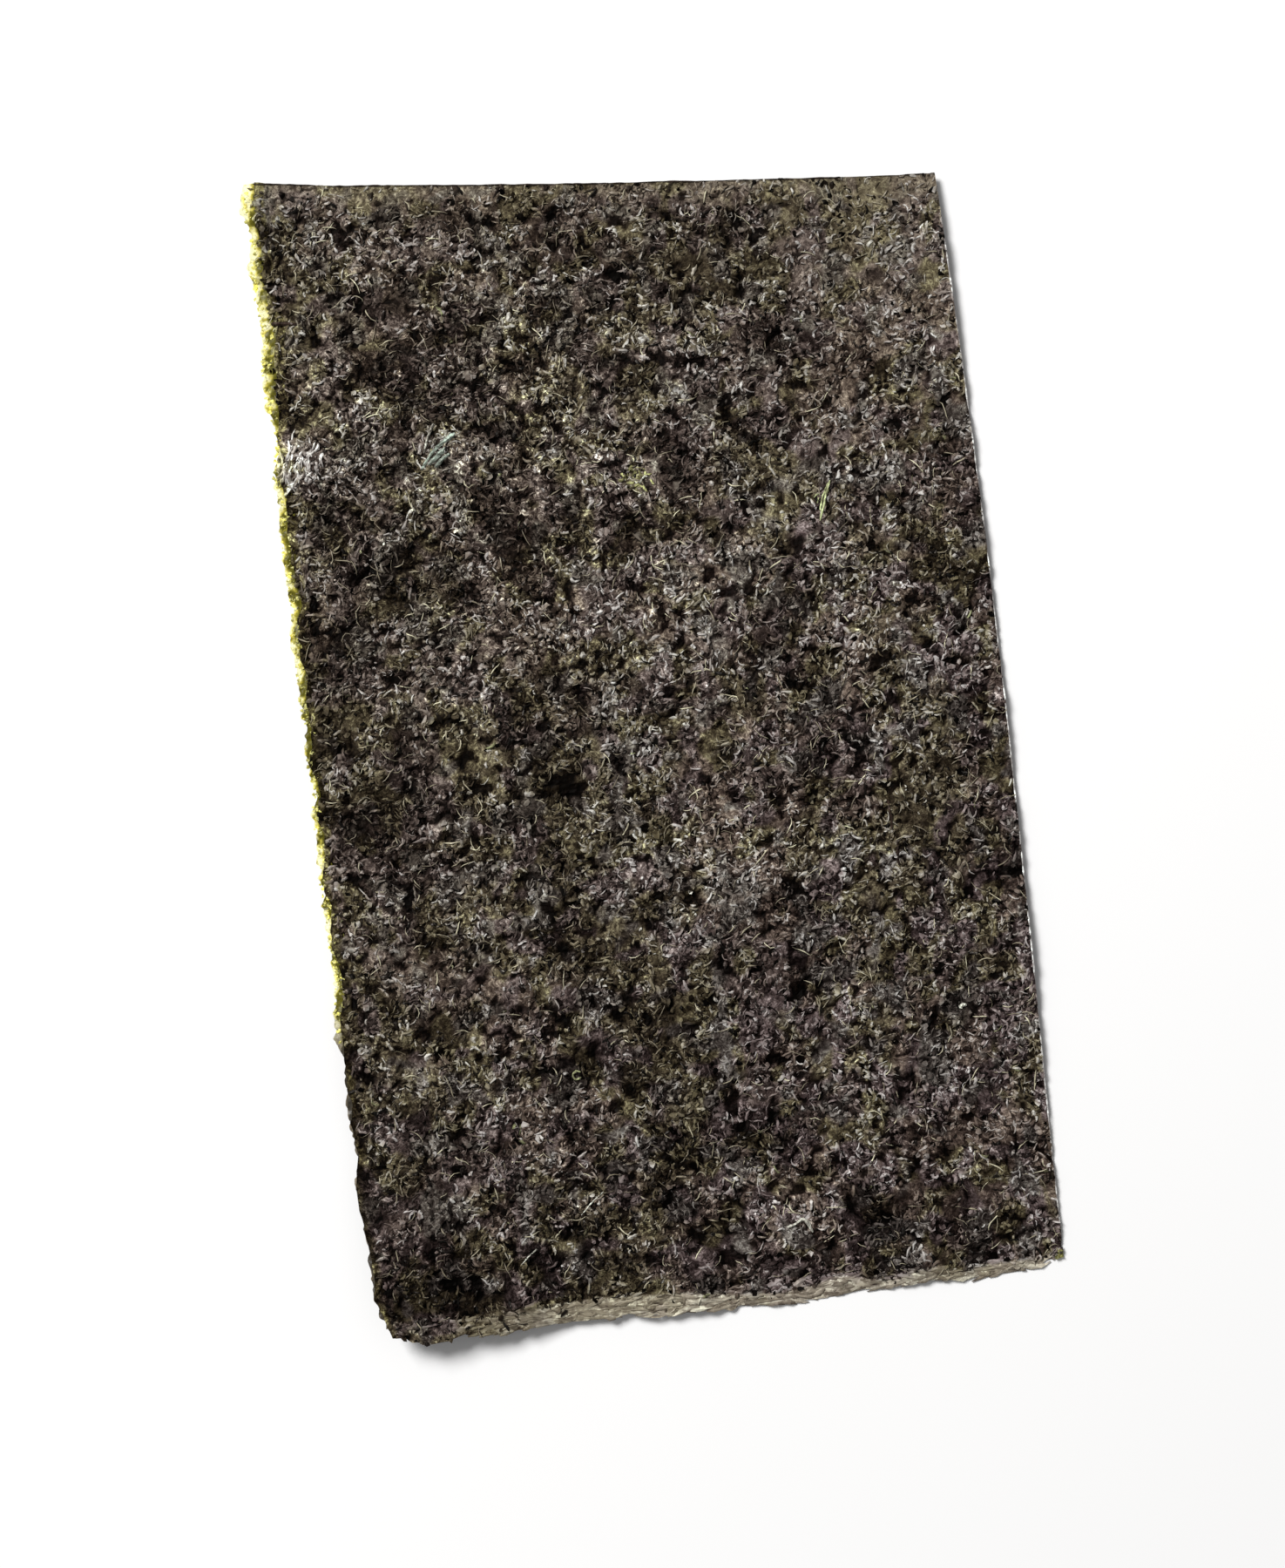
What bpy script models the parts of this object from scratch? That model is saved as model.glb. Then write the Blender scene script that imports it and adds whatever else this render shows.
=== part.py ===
"""A rectangle of dried nori, cut by hand from a full sheet, as one thin wavy solid.

The sheet lies flat with its long side along Y and +Z up. Its right side and its
top end are knife cuts; its left side and its bottom end are the ragged deckle
edges of the full sheet. It rests on a few flat patches of its underside, with
the left margin and two of its corners curled clear of the surface. The origin is
at the middle of its box, on the surface it rests on. Lengths are in metres.
"""

import math

import bmesh
import bpy
from mathutils import Vector, noise

MM = 0.001

# Plan of the sheet
WIDTH = 64.0 * MM
LEFT_LENGTH = 108.6 * MM
RIGHT_LENGTH = 101.4 * MM
BOTTOM_SKEW = 0.6 * MM  # the bottom right corner stands this much above the left one
RIGHT_BOW = 0.75 * MM  # outward
RIGHT_BOW_SKEW = 1.36  # fullest a little above the middle
LEFT_BOW = 0.35 * MM  # outward
LEFT_BOW_SKEW = 0.75  # fullest below the middle
SIDE_BOW_REACH = 30.0 * MM
TOP_BOW = 0.30 * MM  # inward
TOP_BOW_REACH = 25.0 * MM
STEP_DEPTH = 0.75 * MM  # how much lower the right part of the bottom end hangs
STEP_X = -9.0 * MM
STEP_LENGTH = 5.0 * MM
STEP_REACH = 7.0 * MM
DECKLE_DEPTH = 0.42 * MM  # how far the ragged edges wander
DECKLE_REACH = 5.0 * MM
NOTCH_DEPTH = 0.7 * MM  # the bite out of the left edge
NOTCH_Y = 30.3 * MM
NOTCH_LENGTH = 1.7 * MM
NOTCH_REACH = 4.0 * MM
CORNER_CUT = 0.9 * MM  # how far the bottom left corner is rounded off
CORNER_CUT_REACH = 5.0 * MM

# Thickness
THICKNESS = 0.28 * MM
DECKLE_THICKNESS = 0.14 * MM
DECKLE_TAPER = 1.6 * MM
FLAKE_RELIEF = 0.11 * MM  # clumps of pressed laver proud of the upper face
FLAKE_SIZE = 3.2 * MM

# Height of the underside over the surface
LONG_BOW = 1.0 * MM
LEFT_LIFT = 0.9 * MM
LEFT_LIFT_REACH = 13.0 * MM
CORNER_LIFT = 2.3 * MM  # bottom left corner
CORNER_REACH = 42.0 * MM
FAR_CORNER_LIFT = 0.8 * MM  # top right corner
FAR_CORNER_REACH = 30.0 * MM
LEFT_RIPPLE = 0.42 * MM
LEFT_RIPPLE_LENGTH = 26.0 * MM
END_RIPPLE = 0.30 * MM
END_RIPPLE_LENGTH = 20.0 * MM
RIPPLE_REACH = 12.0 * MM
COCKLE = 0.34 * MM
COCKLE_SIZE = 15.0 * MM
CRUMPLE = 0.13 * MM
CRUMPLE_SIZE = 4.2 * MM
SETTLE = 0.16 * MM  # how much of the form is pressed flat on the surface

# Divisions of each face
CELLS_ACROSS = 40
CELLS_ALONG = 66


def clear_scene():
    """Remove every object from the scene."""
    for old in list(bpy.data.objects):
        bpy.data.objects.remove(old, do_unlink=True)


def wander(x, y, size, seed):
    """Smooth noise from about -1 to 1 whose bumps are `size` across."""
    return 2.0 * noise.noise(Vector((x / size, y / size, seed)))


def fade(distance, reach):
    """1 at no distance, falling smoothly to 0 at `reach`."""
    if distance >= reach:
        return 0.0
    rest = 1.0 - distance / reach
    return rest * rest * (3.0 - 2.0 * rest)


def ragged(along, seed):
    """Offset of a deckle edge from its straight line, at a distance along it."""
    broad = wander(along, 0.0, 11.0 * MM, seed)
    middle = wander(along, 0.0, 4.3 * MM, seed + 7.0)
    fine = wander(along, 0.0, 2.1 * MM, seed + 13.0)
    return DECKLE_DEPTH * (0.45 * broad + 0.55 * middle + 0.45 * fine)


def plan(s, t):
    """Place of a point of the sheet seen from above.

    s runs from the left edge (0) to the right edge (1), and t from the bottom
    end (0) to the top end (1).
    """
    x = (s - 0.5) * WIDTH
    left_bottom = -0.5 * LEFT_LENGTH
    left_top = 0.5 * LEFT_LENGTH
    right_bottom = left_bottom + BOTTOM_SKEW
    right_top = right_bottom + RIGHT_LENGTH
    bottom = left_bottom + s * (right_bottom - left_bottom)
    top = left_top + s * (right_top - left_top)
    y = bottom + t * (top - bottom)

    from_left = s * WIDTH
    from_right = (1.0 - s) * WIDTH
    from_bottom = y - bottom
    from_top = top - y

    right_bow = RIGHT_BOW * math.sin(math.pi * t**RIGHT_BOW_SKEW)
    left_bow = LEFT_BOW * math.sin(math.pi * t**LEFT_BOW_SKEW)
    x += right_bow * fade(from_right, SIDE_BOW_REACH)
    x -= left_bow * fade(from_left, SIDE_BOW_REACH)
    y -= TOP_BOW * math.sin(math.pi * s) * fade(from_top, TOP_BOW_REACH)
    step = 1.0 - fade(max(0.0, x - STEP_X), STEP_LENGTH)
    y -= STEP_DEPTH * step * fade(from_bottom, STEP_REACH)

    x += ragged(y, 3.0) * fade(from_left, DECKLE_REACH)
    y += ragged(x, 41.0) * fade(from_bottom, DECKLE_REACH)
    notch = math.exp(-(((y - NOTCH_Y) / NOTCH_LENGTH) ** 2))
    x += NOTCH_DEPTH * notch * fade(from_left, NOTCH_REACH)
    corner = fade(math.hypot(from_left, from_bottom), CORNER_CUT_REACH)
    x += CORNER_CUT * corner
    y += CORNER_CUT * corner
    return x, y


def underside(s, t, x, y):
    """Height of the sheet's lower face over the surface it rests on."""
    from_left = s * WIDTH
    from_bottom = t * LEFT_LENGTH
    from_corner = math.hypot(from_left, from_bottom)
    from_far_corner = math.hypot((1.0 - s) * WIDTH, (1.0 - t) * RIGHT_LENGTH)

    height = LONG_BOW * math.sin(math.pi * t) ** 2 * (0.65 + 0.35 * math.sin(math.pi * s))
    height += LEFT_LIFT * fade(from_left, LEFT_LIFT_REACH)
    height += CORNER_LIFT * fade(from_corner, CORNER_REACH)
    height += FAR_CORNER_LIFT * fade(from_far_corner, FAR_CORNER_REACH)
    left_wave = math.sin(2.0 * math.pi * y / LEFT_RIPPLE_LENGTH + 0.8)
    height += LEFT_RIPPLE * left_wave * fade(from_left, RIPPLE_REACH)
    end_wave = math.sin(2.0 * math.pi * x / END_RIPPLE_LENGTH + 2.1)
    height += END_RIPPLE * end_wave * fade(from_bottom, RIPPLE_REACH)
    height += COCKLE * wander(x, 0.8 * y, COCKLE_SIZE, 5.0)
    height += 0.5 * COCKLE * wander(x, y, 0.5 * COCKLE_SIZE, 9.0)
    height += CRUMPLE * wander(x, y, CRUMPLE_SIZE, 17.0)
    return max(0.0, height - SETTLE)


def thickness(s, t, x, y):
    """Thickness of the sheet, thinning out to both deckle edges."""
    from_deckle = min(s * WIDTH, t * LEFT_LENGTH)
    taper = math.exp(-from_deckle / DECKLE_TAPER)
    depth = THICKNESS + (DECKLE_THICKNESS - THICKNESS) * taper
    clump = wander(x, y, FLAKE_SIZE, 23.0) + 0.5 * wander(x, y, 0.55 * FLAKE_SIZE, 29.0)
    return depth + FLAKE_RELIEF * max(-0.5, clump) * (1.0 - 0.7 * taper)


def nori_material():
    """Near-black, faintly olive dried laver with a broken, waxy shine."""
    material = bpy.data.materials.new("dried_nori")
    material.use_nodes = True
    shader = material.node_tree.nodes["Principled BSDF"]
    shader.inputs["Base Color"].default_value = (0.045, 0.040, 0.030, 1.0)
    shader.inputs["Roughness"].default_value = 0.5
    shader.inputs["Metallic"].default_value = 0.0
    material.diffuse_color = (0.045, 0.040, 0.030, 1.0)
    return material


def build_sheet(name):
    """Make the sheet: one skin, split into triangles, then thickened upwards.

    The skin is split before it is thickened, so that both faces share the same
    triangles and the edge walls close them point for point.
    """
    skin = bmesh.new()
    bmesh.ops.create_grid(
        skin, x_segments=CELLS_ACROSS, y_segments=CELLS_ALONG, size=0.5
    )
    across = skin.verts.layers.float.new("across")
    along = skin.verts.layers.float.new("along")
    for vert in skin.verts:
        s, t = vert.co.x + 0.5, vert.co.y + 0.5
        vert[across], vert[along] = s, t
        x, y = plan(s, t)
        vert.co = (x, y, underside(s, t, x, y))
    bmesh.ops.triangulate(skin, faces=skin.faces[:], quad_method="SHORT_EDGE")

    raised = bmesh.ops.extrude_face_region(skin, geom=skin.faces[:], use_keep_orig=True)
    for vert in raised["geom"]:
        if isinstance(vert, bmesh.types.BMVert):
            vert.co.z += thickness(vert[across], vert[along], vert.co.x, vert.co.y)
    bmesh.ops.recalc_face_normals(skin, faces=skin.faces[:])

    xs = [vert.co.x for vert in skin.verts]
    ys = [vert.co.y for vert in skin.verts]
    middle = Vector((0.5 * (min(xs) + max(xs)), 0.5 * (min(ys) + max(ys)), 0.0))
    bmesh.ops.translate(skin, verts=skin.verts[:], vec=-middle)

    mesh = bpy.data.meshes.new(name)
    skin.to_mesh(mesh)
    skin.free()
    mesh.materials.append(nori_material())
    mesh.shade_smooth()
    mesh.set_sharp_from_angle(angle=math.radians(50.0))
    sheet = bpy.data.objects.new(name, mesh)
    bpy.context.scene.collection.objects.link(sheet)
    return sheet


def main():
    """Build the part."""
    clear_scene()
    build_sheet("nori_sheet")


main()
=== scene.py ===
"""Dress a hand-cut sheet of dried nori as the real thing looks from straight above.

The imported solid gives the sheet's outline, its curl and its height everywhere.
A finely crumpled body of the same form stands for it. On that go thousands of
curled shreds and flakes of laver, the thin yellow-green margin of the left edge,
the pressed lip of the bottom edge, the strands that stand out one by one and the
thin lines of the two knife cuts. Lengths are in metres.
"""

import logging
import math
from dataclasses import dataclass
from enum import Enum

import bmesh
import bpy
import numpy as np
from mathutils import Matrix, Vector
from mathutils.bvhtree import BVHTree


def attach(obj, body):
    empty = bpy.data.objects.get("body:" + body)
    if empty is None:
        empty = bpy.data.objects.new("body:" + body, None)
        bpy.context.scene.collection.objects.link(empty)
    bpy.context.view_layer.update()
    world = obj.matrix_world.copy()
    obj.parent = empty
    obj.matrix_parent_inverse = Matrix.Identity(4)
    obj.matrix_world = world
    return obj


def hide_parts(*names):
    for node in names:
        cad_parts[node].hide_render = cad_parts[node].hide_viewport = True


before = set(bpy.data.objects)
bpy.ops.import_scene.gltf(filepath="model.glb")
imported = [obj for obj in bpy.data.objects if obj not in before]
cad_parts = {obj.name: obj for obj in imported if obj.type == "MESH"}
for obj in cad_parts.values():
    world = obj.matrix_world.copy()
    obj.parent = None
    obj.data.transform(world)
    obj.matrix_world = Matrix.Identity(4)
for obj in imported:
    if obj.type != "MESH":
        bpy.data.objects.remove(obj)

MM = 0.001
NODE = "nori_sheet"
BODY = "root"
JOIN = 1e-7  # vertices nearer than this are one
TINY = 1e-12  # keeps a division from failing
INSET = 0.35 * MM  # how far inside the left edge shreds and flakes stay
Colour = tuple[float, float, float]
Array = np.ndarray
WHITE = (1.0, 1.0, 1.0, 1.0)

log = logging.getLogger("nori")


# ---------------------------------------------------------------- shader maths


class Signal:
    """A shader socket that takes part in Python expressions."""

    def __init__(self, shading: "Shading", socket: bpy.types.NodeSocket) -> None:
        """Keep the socket and the node tree that it belongs to."""
        self.shading = shading
        self.socket = socket

    def _math(self, operation: str, first: object, second: object) -> "Signal":
        """Add a Math node on two sockets or numbers."""
        return self.shading.node("ShaderNodeMath", {"operation": operation}, {0: first, 1: second})

    def __add__(self, other: object) -> "Signal":
        """Add."""
        return self._math("ADD", self, other)

    def __radd__(self, other: object) -> "Signal":
        """Add, with the number first."""
        return self._math("ADD", other, self)

    def __sub__(self, other: object) -> "Signal":
        """Subtract."""
        return self._math("SUBTRACT", self, other)

    def __rsub__(self, other: object) -> "Signal":
        """Subtract from a number."""
        return self._math("SUBTRACT", other, self)

    def __mul__(self, other: object) -> "Signal":
        """Multiply."""
        return self._math("MULTIPLY", self, other)

    def __rmul__(self, other: object) -> "Signal":
        """Multiply, with the number first."""
        return self._math("MULTIPLY", other, self)

    def __pow__(self, other: object) -> "Signal":
        """Raise to a power."""
        return self._math("POWER", self, other)

    def __rpow__(self, other: object) -> "Signal":
        """Raise a number to this power."""
        return self._math("POWER", other, self)

    def __abs__(self) -> "Signal":
        """Take the size alone."""
        return self._math("ABSOLUTE", self, 0.0)

    def ramp(self, low: float, high: float) -> "Signal":
        """Go smoothly from 0 at `low` to 1 at `high`."""
        limits = {"Value": self, "From Min": low, "From Max": high}
        return self.shading.node("ShaderNodeMapRange", {"interpolation_type": "SMOOTHSTEP"}, limits)


class Shading:
    """The node tree of one material, built by expressions."""

    RED_SHARE = 0.905
    RED_POWER = 0.93
    BLUE_SHARE = 1.13

    def __init__(self, name: str) -> None:
        """Start an empty material.

        Args:
            name: the material's name.
        """
        self.material = bpy.data.materials.new(name)
        self.material.use_nodes = True
        self.tree = self.material.node_tree
        self.tree.nodes.clear()
        self.place = self.node("ShaderNodeTexCoord", {}, {}, "Object")

    def node(
        self,
        kind: str,
        settings: dict[str, object],
        inputs: dict[int | str, object],
        output: int | str = 0,
    ) -> Signal:
        """Add any node.

        Args:
            kind: the node's type.
            settings: its own properties, set before its sockets.
            inputs: values or signals, by socket number or name.
            output: which output the result stands for.

        Returns:
            The chosen output.
        """
        made = self.tree.nodes.new(kind)
        for key, value in settings.items():
            setattr(made, key, value)
        for key, value in inputs.items():
            if isinstance(value, Signal):
                self.tree.links.new(value.socket, made.inputs[key])
            else:
                made.inputs[key].default_value = value
        return Signal(self, made.outputs[output])

    def noise(
        self, size: float, detail: float = 2.0, roughness: float = 0.5, curl: float = 0.0
    ) -> Signal:
        """Add noise.

        Args:
            size: how far apart its features are.
            detail: how many finer layers it has.
            roughness: how strong the finer layers are.
            curl: how far it is pushed about.

        Returns:
            The noise, from 0 to 1.
        """
        inputs = {"Vector": self.place, "Scale": 1.0 / size, "Detail": detail}
        inputs |= {"Roughness": roughness, "Distortion": curl}
        return self.node("ShaderNodeTexNoise", {}, inputs)

    def threads(self, size: float, width: float, curl: float) -> Signal:
        """Thin curly lines, 1 along their middles and 0 past their width."""
        away = abs(self.noise(size, curl=curl) - 0.5)
        return 1.0 - away.ramp(0.0, width)

    def attribute(self, name: str, output: str) -> Signal:
        """A number or a colour stored on the mesh."""
        return self.node("ShaderNodeAttribute", {"attribute_name": name}, {}, output)

    def scale_colour(self, colour: Signal, factor: object) -> Signal:
        """Multiply a colour by a number."""
        return self.node("ShaderNodeVectorMath", {"operation": "SCALE"}, {0: colour, "Scale": factor})

    def weathered(self, colour: Signal) -> Signal:
        """Make what is dark redder than what is light, and all of it a little bluer.

        Args:
            colour: the colour as stored.

        Returns:
            The changed colour.
        """
        parts = [self.node("ShaderNodeSeparateColor", {}, {0: colour}, i) for i in range(3)]
        red = self.RED_SHARE * parts[0] ** self.RED_POWER
        blue = self.BLUE_SHARE * parts[2]
        return self.node("ShaderNodeCombineColor", {}, {0: red, 1: parts[1], 2: blue})

    def bump(self, height: Signal, distance: float) -> Signal:
        """Normals of a relief of that height."""
        return self.node("ShaderNodeBump", {}, {"Height": height, "Distance": distance})

    def surface(self, inputs: dict[str, object]) -> Signal:
        """Add a Principled shader with those values and signals."""
        return self.node("ShaderNodeBsdfPrincipled", {}, inputs)

    def finish(self, shader: Signal) -> bpy.types.Material:
        """Send the shader to the output.

        Args:
            shader: what the surface is made of.

        Returns:
            The finished material.
        """
        output = self.tree.nodes.new("ShaderNodeOutputMaterial")
        self.tree.links.new(shader.socket, output.inputs["Surface"])
        return self.material


# -------------------------------------------------------------------- finishes


@dataclass(frozen=True)
class LaverFinish:
    """Dried laver: the colour stored on the mesh, threaded, speckled and waxy.

    Its fine grain both bumps the surface and changes its colour, as a random mottling and
    as painted light on the bump's tops and painted shade in its dips. Each mesh carries
    `laver`, the colour at each vertex, whose alpha is how strongly all this shows there.
    """

    name: str
    roughness: float = 0.40
    gloss: float = 0.5
    speckle_and_shade: float = 4.0
    threaded: float = 0.0
    grain_size: float = 0.55 * MM
    grain_depth: float = 0.02 * MM
    thread_size: float = 0.8 * MM
    thread_width: float = 0.10
    unevenness: float = 0.32
    sheen: Colour = (1.0, 0.90, 0.80)

    def material(self) -> bpy.types.Material:
        """Build the material.

        Returns:
            The material.
        """
        s = Shading(self.name)
        grain = s.noise(self.grain_size, 1.5, 0.6, curl=0.8)
        # Painted light and shade: the grain that raises the bump also makes the colour lighter on its
        # tops and darker in its dips.
        power = self.speckle_and_shade * (grain - 0.5)
        if self.threaded:
            threads = s.threads(self.thread_size, self.thread_width, curl=2.0)
            power = power + self.threaded * (threads - 0.45)
        mottle_and_shade = math.e ** (power * s.attribute("laver", "Alpha"))
        colour = s.scale_colour(s.attribute("laver", "Color"), mottle_and_shade)
        inputs = {
            "Base Color": s.weathered(colour),
            "Roughness": self.roughness - 0.5 * self.unevenness + self.unevenness * grain,
            "IOR": 1.5,
            "Specular IOR Level": self.gloss,
            "Specular Tint": (*self.sheen, 1.0),
            "Normal": s.bump(grain, self.grain_depth),
        }
        return s.finish(s.surface(inputs))


@dataclass(frozen=True)
class MarginFinish:
    """Laver so thin that the light comes through it, in the colour stored on the mesh."""

    name: str
    glow: float = 0.5
    roughness: float = 0.35
    grain_size: float = 0.22 * MM
    grain_depth: float = 0.03 * MM

    def material(self) -> bpy.types.Material:
        """Build the material.

        Returns:
            The material.
        """
        s = Shading(self.name)
        grain = s.noise(self.grain_size, 2.0, 0.6)
        # Painted light and shade: the grain that raises the film's bump also lightens its tops and
        # darkens its dips.
        mottle_and_shade = 0.75 + 0.4 * grain.ramp(0.32, 0.56)
        colour = s.scale_colour(s.attribute("laver", "Color"), mottle_and_shade)
        inputs = {"Base Color": colour, "Roughness": self.roughness, "IOR": 1.45}
        skin = s.surface(inputs | {"Normal": s.bump(grain, self.grain_depth)})
        through = s.node("ShaderNodeBsdfTranslucent", {}, {"Color": colour})
        both = s.node("ShaderNodeMixShader", {}, {0: self.glow, 1: skin, 2: through})
        return s.finish(both)


@dataclass(frozen=True)
class FloorFinish:
    """Plain matt white."""

    name: str = "white_table"
    colour: Colour = (0.93, 0.925, 0.92)
    roughness: float = 0.9
    gloss: float = 0.1

    def material(self) -> bpy.types.Material:
        """Build the material.

        Returns:
            The material.
        """
        s = Shading(self.name)
        inputs = {"Base Color": (*self.colour, 1.0), "Roughness": self.roughness}
        return s.finish(s.surface(inputs | {"Specular IOR Level": self.gloss}))


BODY_FINISH = LaverFinish(
    "laver_body", roughness=0.6, gloss=0.03, speckle_and_shade=6.0, threaded=1.4, grain_depth=0.03 * MM
)
FLAKE_FINISH = LaverFinish("laver_flake", roughness=0.5, gloss=0.07, speckle_and_shade=2.0)
SHRED_FINISH = LaverFinish("laver_shred", gloss=0.25, speckle_and_shade=1.6)
STRAND_FINISH = LaverFinish("laver_strand", gloss=0.35, roughness=0.45)
MARGIN_FINISH = MarginFinish("laver_margin")


# ------------------------------------------------------------- shape of the sheet


class Side(Enum):
    """The four sides of the sheet."""

    LEFT = "left"
    RIGHT = "right"
    BOTTOM = "bottom"
    TOP = "top"


def smooth(value: Array) -> Array:
    """Ease from 0 to 1, held at both ends."""
    held = np.clip(value, 0.0, 1.0)
    return held * held * (3.0 - 2.0 * held)


@dataclass(frozen=True)
class Grain:
    """Smooth seeded noise over the sheet's plan, from -1 to 1."""

    size: float
    seed: int
    cells: int = 128
    offset: tuple[float, float] = (517.3, 311.7)  # keeps the lattice's numbers positive

    def at(self, x: Array, y: Array) -> Array:
        """Read the noise.

        Args:
            x: places across the sheet.
            y: places along it.

        Returns:
            The value at each place.
        """
        lattice = np.random.default_rng(self.seed).uniform(-1, 1, (self.cells, self.cells))
        u, v = x / self.size + self.offset[0], y / self.size + self.offset[1]
        i, j = np.floor(u).astype(int), np.floor(v).astype(int)
        f, g = smooth(u - i), smooth(v - j)
        i0, j0 = i % self.cells, j % self.cells
        i1, j1 = (i + 1) % self.cells, (j + 1) % self.cells
        low = lattice[i0, j0] * (1 - f) + lattice[i1, j0] * f
        high = lattice[i0, j1] * (1 - f) + lattice[i1, j1] * f
        return low * (1 - g) + high * g


@dataclass(frozen=True)
class Swirl:
    """Noise whose pattern is pushed about by two others, so that it curls."""

    grain: Grain
    push: float
    eddy: float
    steepness: float = 2.2
    seed_steps: tuple[int, int] = (400, 500)

    def at(self, x: Array, y: Array) -> Array:
        """Value at each point, from -1 to 1."""
        dx, dy = (Grain(self.eddy, self.grain.seed + step).at(x, y) for step in self.seed_steps)
        return self.grain.at(x + self.push * dx, y + self.push * dy)

    def crest(self, x: Array, y: Array) -> Array:
        """Curled crest lines: 1 along them, down to 0 between."""
        return 1.0 - np.minimum(1.0, self.steepness * np.abs(self.at(x, y)))


class Outline:
    """The four edges of the sheet, read from the walls of its solid."""

    FACING = {Side.LEFT: (0, -1), Side.RIGHT: (0, 1), Side.BOTTOM: (1, -1), Side.TOP: (1, 1)}
    SQUARE_ON = 0.75
    corner_cut = 0.9 * MM
    corner_reach = 3.0 * MM

    def __init__(self, solid: bpy.types.Object) -> None:
        """Sort the wall faces by the side that they look to.

        Args:
            solid: the sheet's CAD solid.
        """
        merged = merged_copy(solid.data)
        self.runs: dict[Side, tuple[Array, Array]] = {}
        for side, (axis, sign) in self.FACING.items():
            walls = [
                face.calc_center_median()
                for face in merged.faces
                if face.normal[axis] * sign > self.SQUARE_ON
            ]
            along = np.array([centre[1 - axis] for centre in walls])
            across = np.array([centre[axis] for centre in walls])
            order = np.argsort(along)
            self.runs[side] = (along[order], across[order])
        merged.free()
        self.low_right = self.runs[Side.RIGHT][0][0]

    def edge(self, side: Side, along: Array) -> Array:
        """Where an edge lies, at places along it."""
        places, values = self.runs[side]
        return np.interp(along, places, values)

    def corner(self, x: Array, y: Array | None = None) -> Array:
        """Say how far the rounding of the bottom right corner lifts its edge.

        Args:
            x: places across the sheet.
            y: places along it, or None for places on the bottom edge.

        Returns:
            The lift at each place.
        """
        away = self.inside(Side.RIGHT, x, self.low_right if y is None else y)
        if y is not None:
            away = np.hypot(away, self.inside(Side.BOTTOM, x, y))
        return self.corner_cut * (1.0 - smooth(away / self.corner_reach))

    def inside(self, side: Side, x: Array, y: Array) -> Array:
        """Measure how far inside an edge each place is.

        Args:
            side: the edge.
            x: places across the sheet.
            y: places along it.

        Returns:
            The distances, negative outside the edge.
        """
        if side is Side.LEFT:
            return x - self.edge(side, y)
        if side is Side.RIGHT:
            return self.edge(side, y) - x
        if side is Side.BOTTOM:
            return y - self.edge(side, x)
        return self.edge(side, x) - y


def merged_copy(mesh: bpy.types.Mesh) -> bmesh.types.BMesh:
    """Join the loose triangles of a mesh.

    Args:
        mesh: the mesh, which stays as it is.

    Returns:
        The joined copy.
    """
    joined = bmesh.new()
    joined.from_mesh(mesh)
    bmesh.ops.remove_doubles(joined, verts=joined.verts[:], dist=JOIN)
    joined.normal_update()
    return joined


@dataclass(frozen=True)
class Tint:
    """A hue that comes up in blotches, where its swirl passes `above`."""

    hue: Colour
    swirl: Swirl
    above: float
    rim: float = 0.3

    def lay(self, x: Array, y: Array, under: Array) -> Array:
        """Mix the hue over another one."""
        mask = smooth((self.swirl.at(x, y) - self.above) / self.rim)[..., None]
        return under * (1 - mask) + np.array(self.hue) * mask


@dataclass(frozen=True)
class Spot:
    """A round place on the sheet with a ragged rim; lengths in millimetres."""

    x: float
    y: float
    radius: float
    strength: float = 1.0
    ragged: float = 0.35
    rims: tuple[Grain, Grain] = (Grain(1.1 * MM, 91), Grain(1.1 * MM, 92))

    def mask(self, x: Array, y: Array) -> Array:
        """Say how much of the spot each place has.

        Args:
            x: places across the sheet.
            y: places along it.

        Returns:
            The strength at the middle, 0 past the rim.
        """
        push = self.ragged * self.radius * MM
        dx, dy = (push * rim.at(x, y) for rim in self.rims)
        away = np.hypot(x - self.x * MM + dx, y - self.y * MM + dy) / (self.radius * MM)
        return self.strength * smooth(1.6 - 1.1 * away)


BROWN: Colour = (1.235, 0.96, 0.68)
PALE: Colour = (1.08, 0.99, 0.84)
KHAKI: Colour = (1.16, 1.00, 0.63)
YELLOWISH: Colour = (1.16, 1.04, 0.36)
MOSS = Tint((1.15, 0.995, 0.54), Swirl(Grain(9.0 * MM, 85), 2.0 * MM, 5.0 * MM), -0.05)
PLUM = Tint((1.21, 0.955, 0.75), Swirl(Grain(6.5 * MM, 86), 2.0 * MM, 4.0 * MM), 0.18)
OLIVE = Tint((1.14, 1.005, 0.50), Swirl(Grain(2.1 * MM, 81), 1.0 * MM, 1.6 * MM), 0.05)
LILAC = Tint((1.20, 0.945, 0.80), Swirl(Grain(1.9 * MM, 82), 0.8 * MM, 1.6 * MM), 0.14)
TEAL = Tint((1.08, 0.99, 0.77), Swirl(Grain(1.7 * MM, 83), 0.8 * MM, 1.6 * MM), 0.28)

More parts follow.
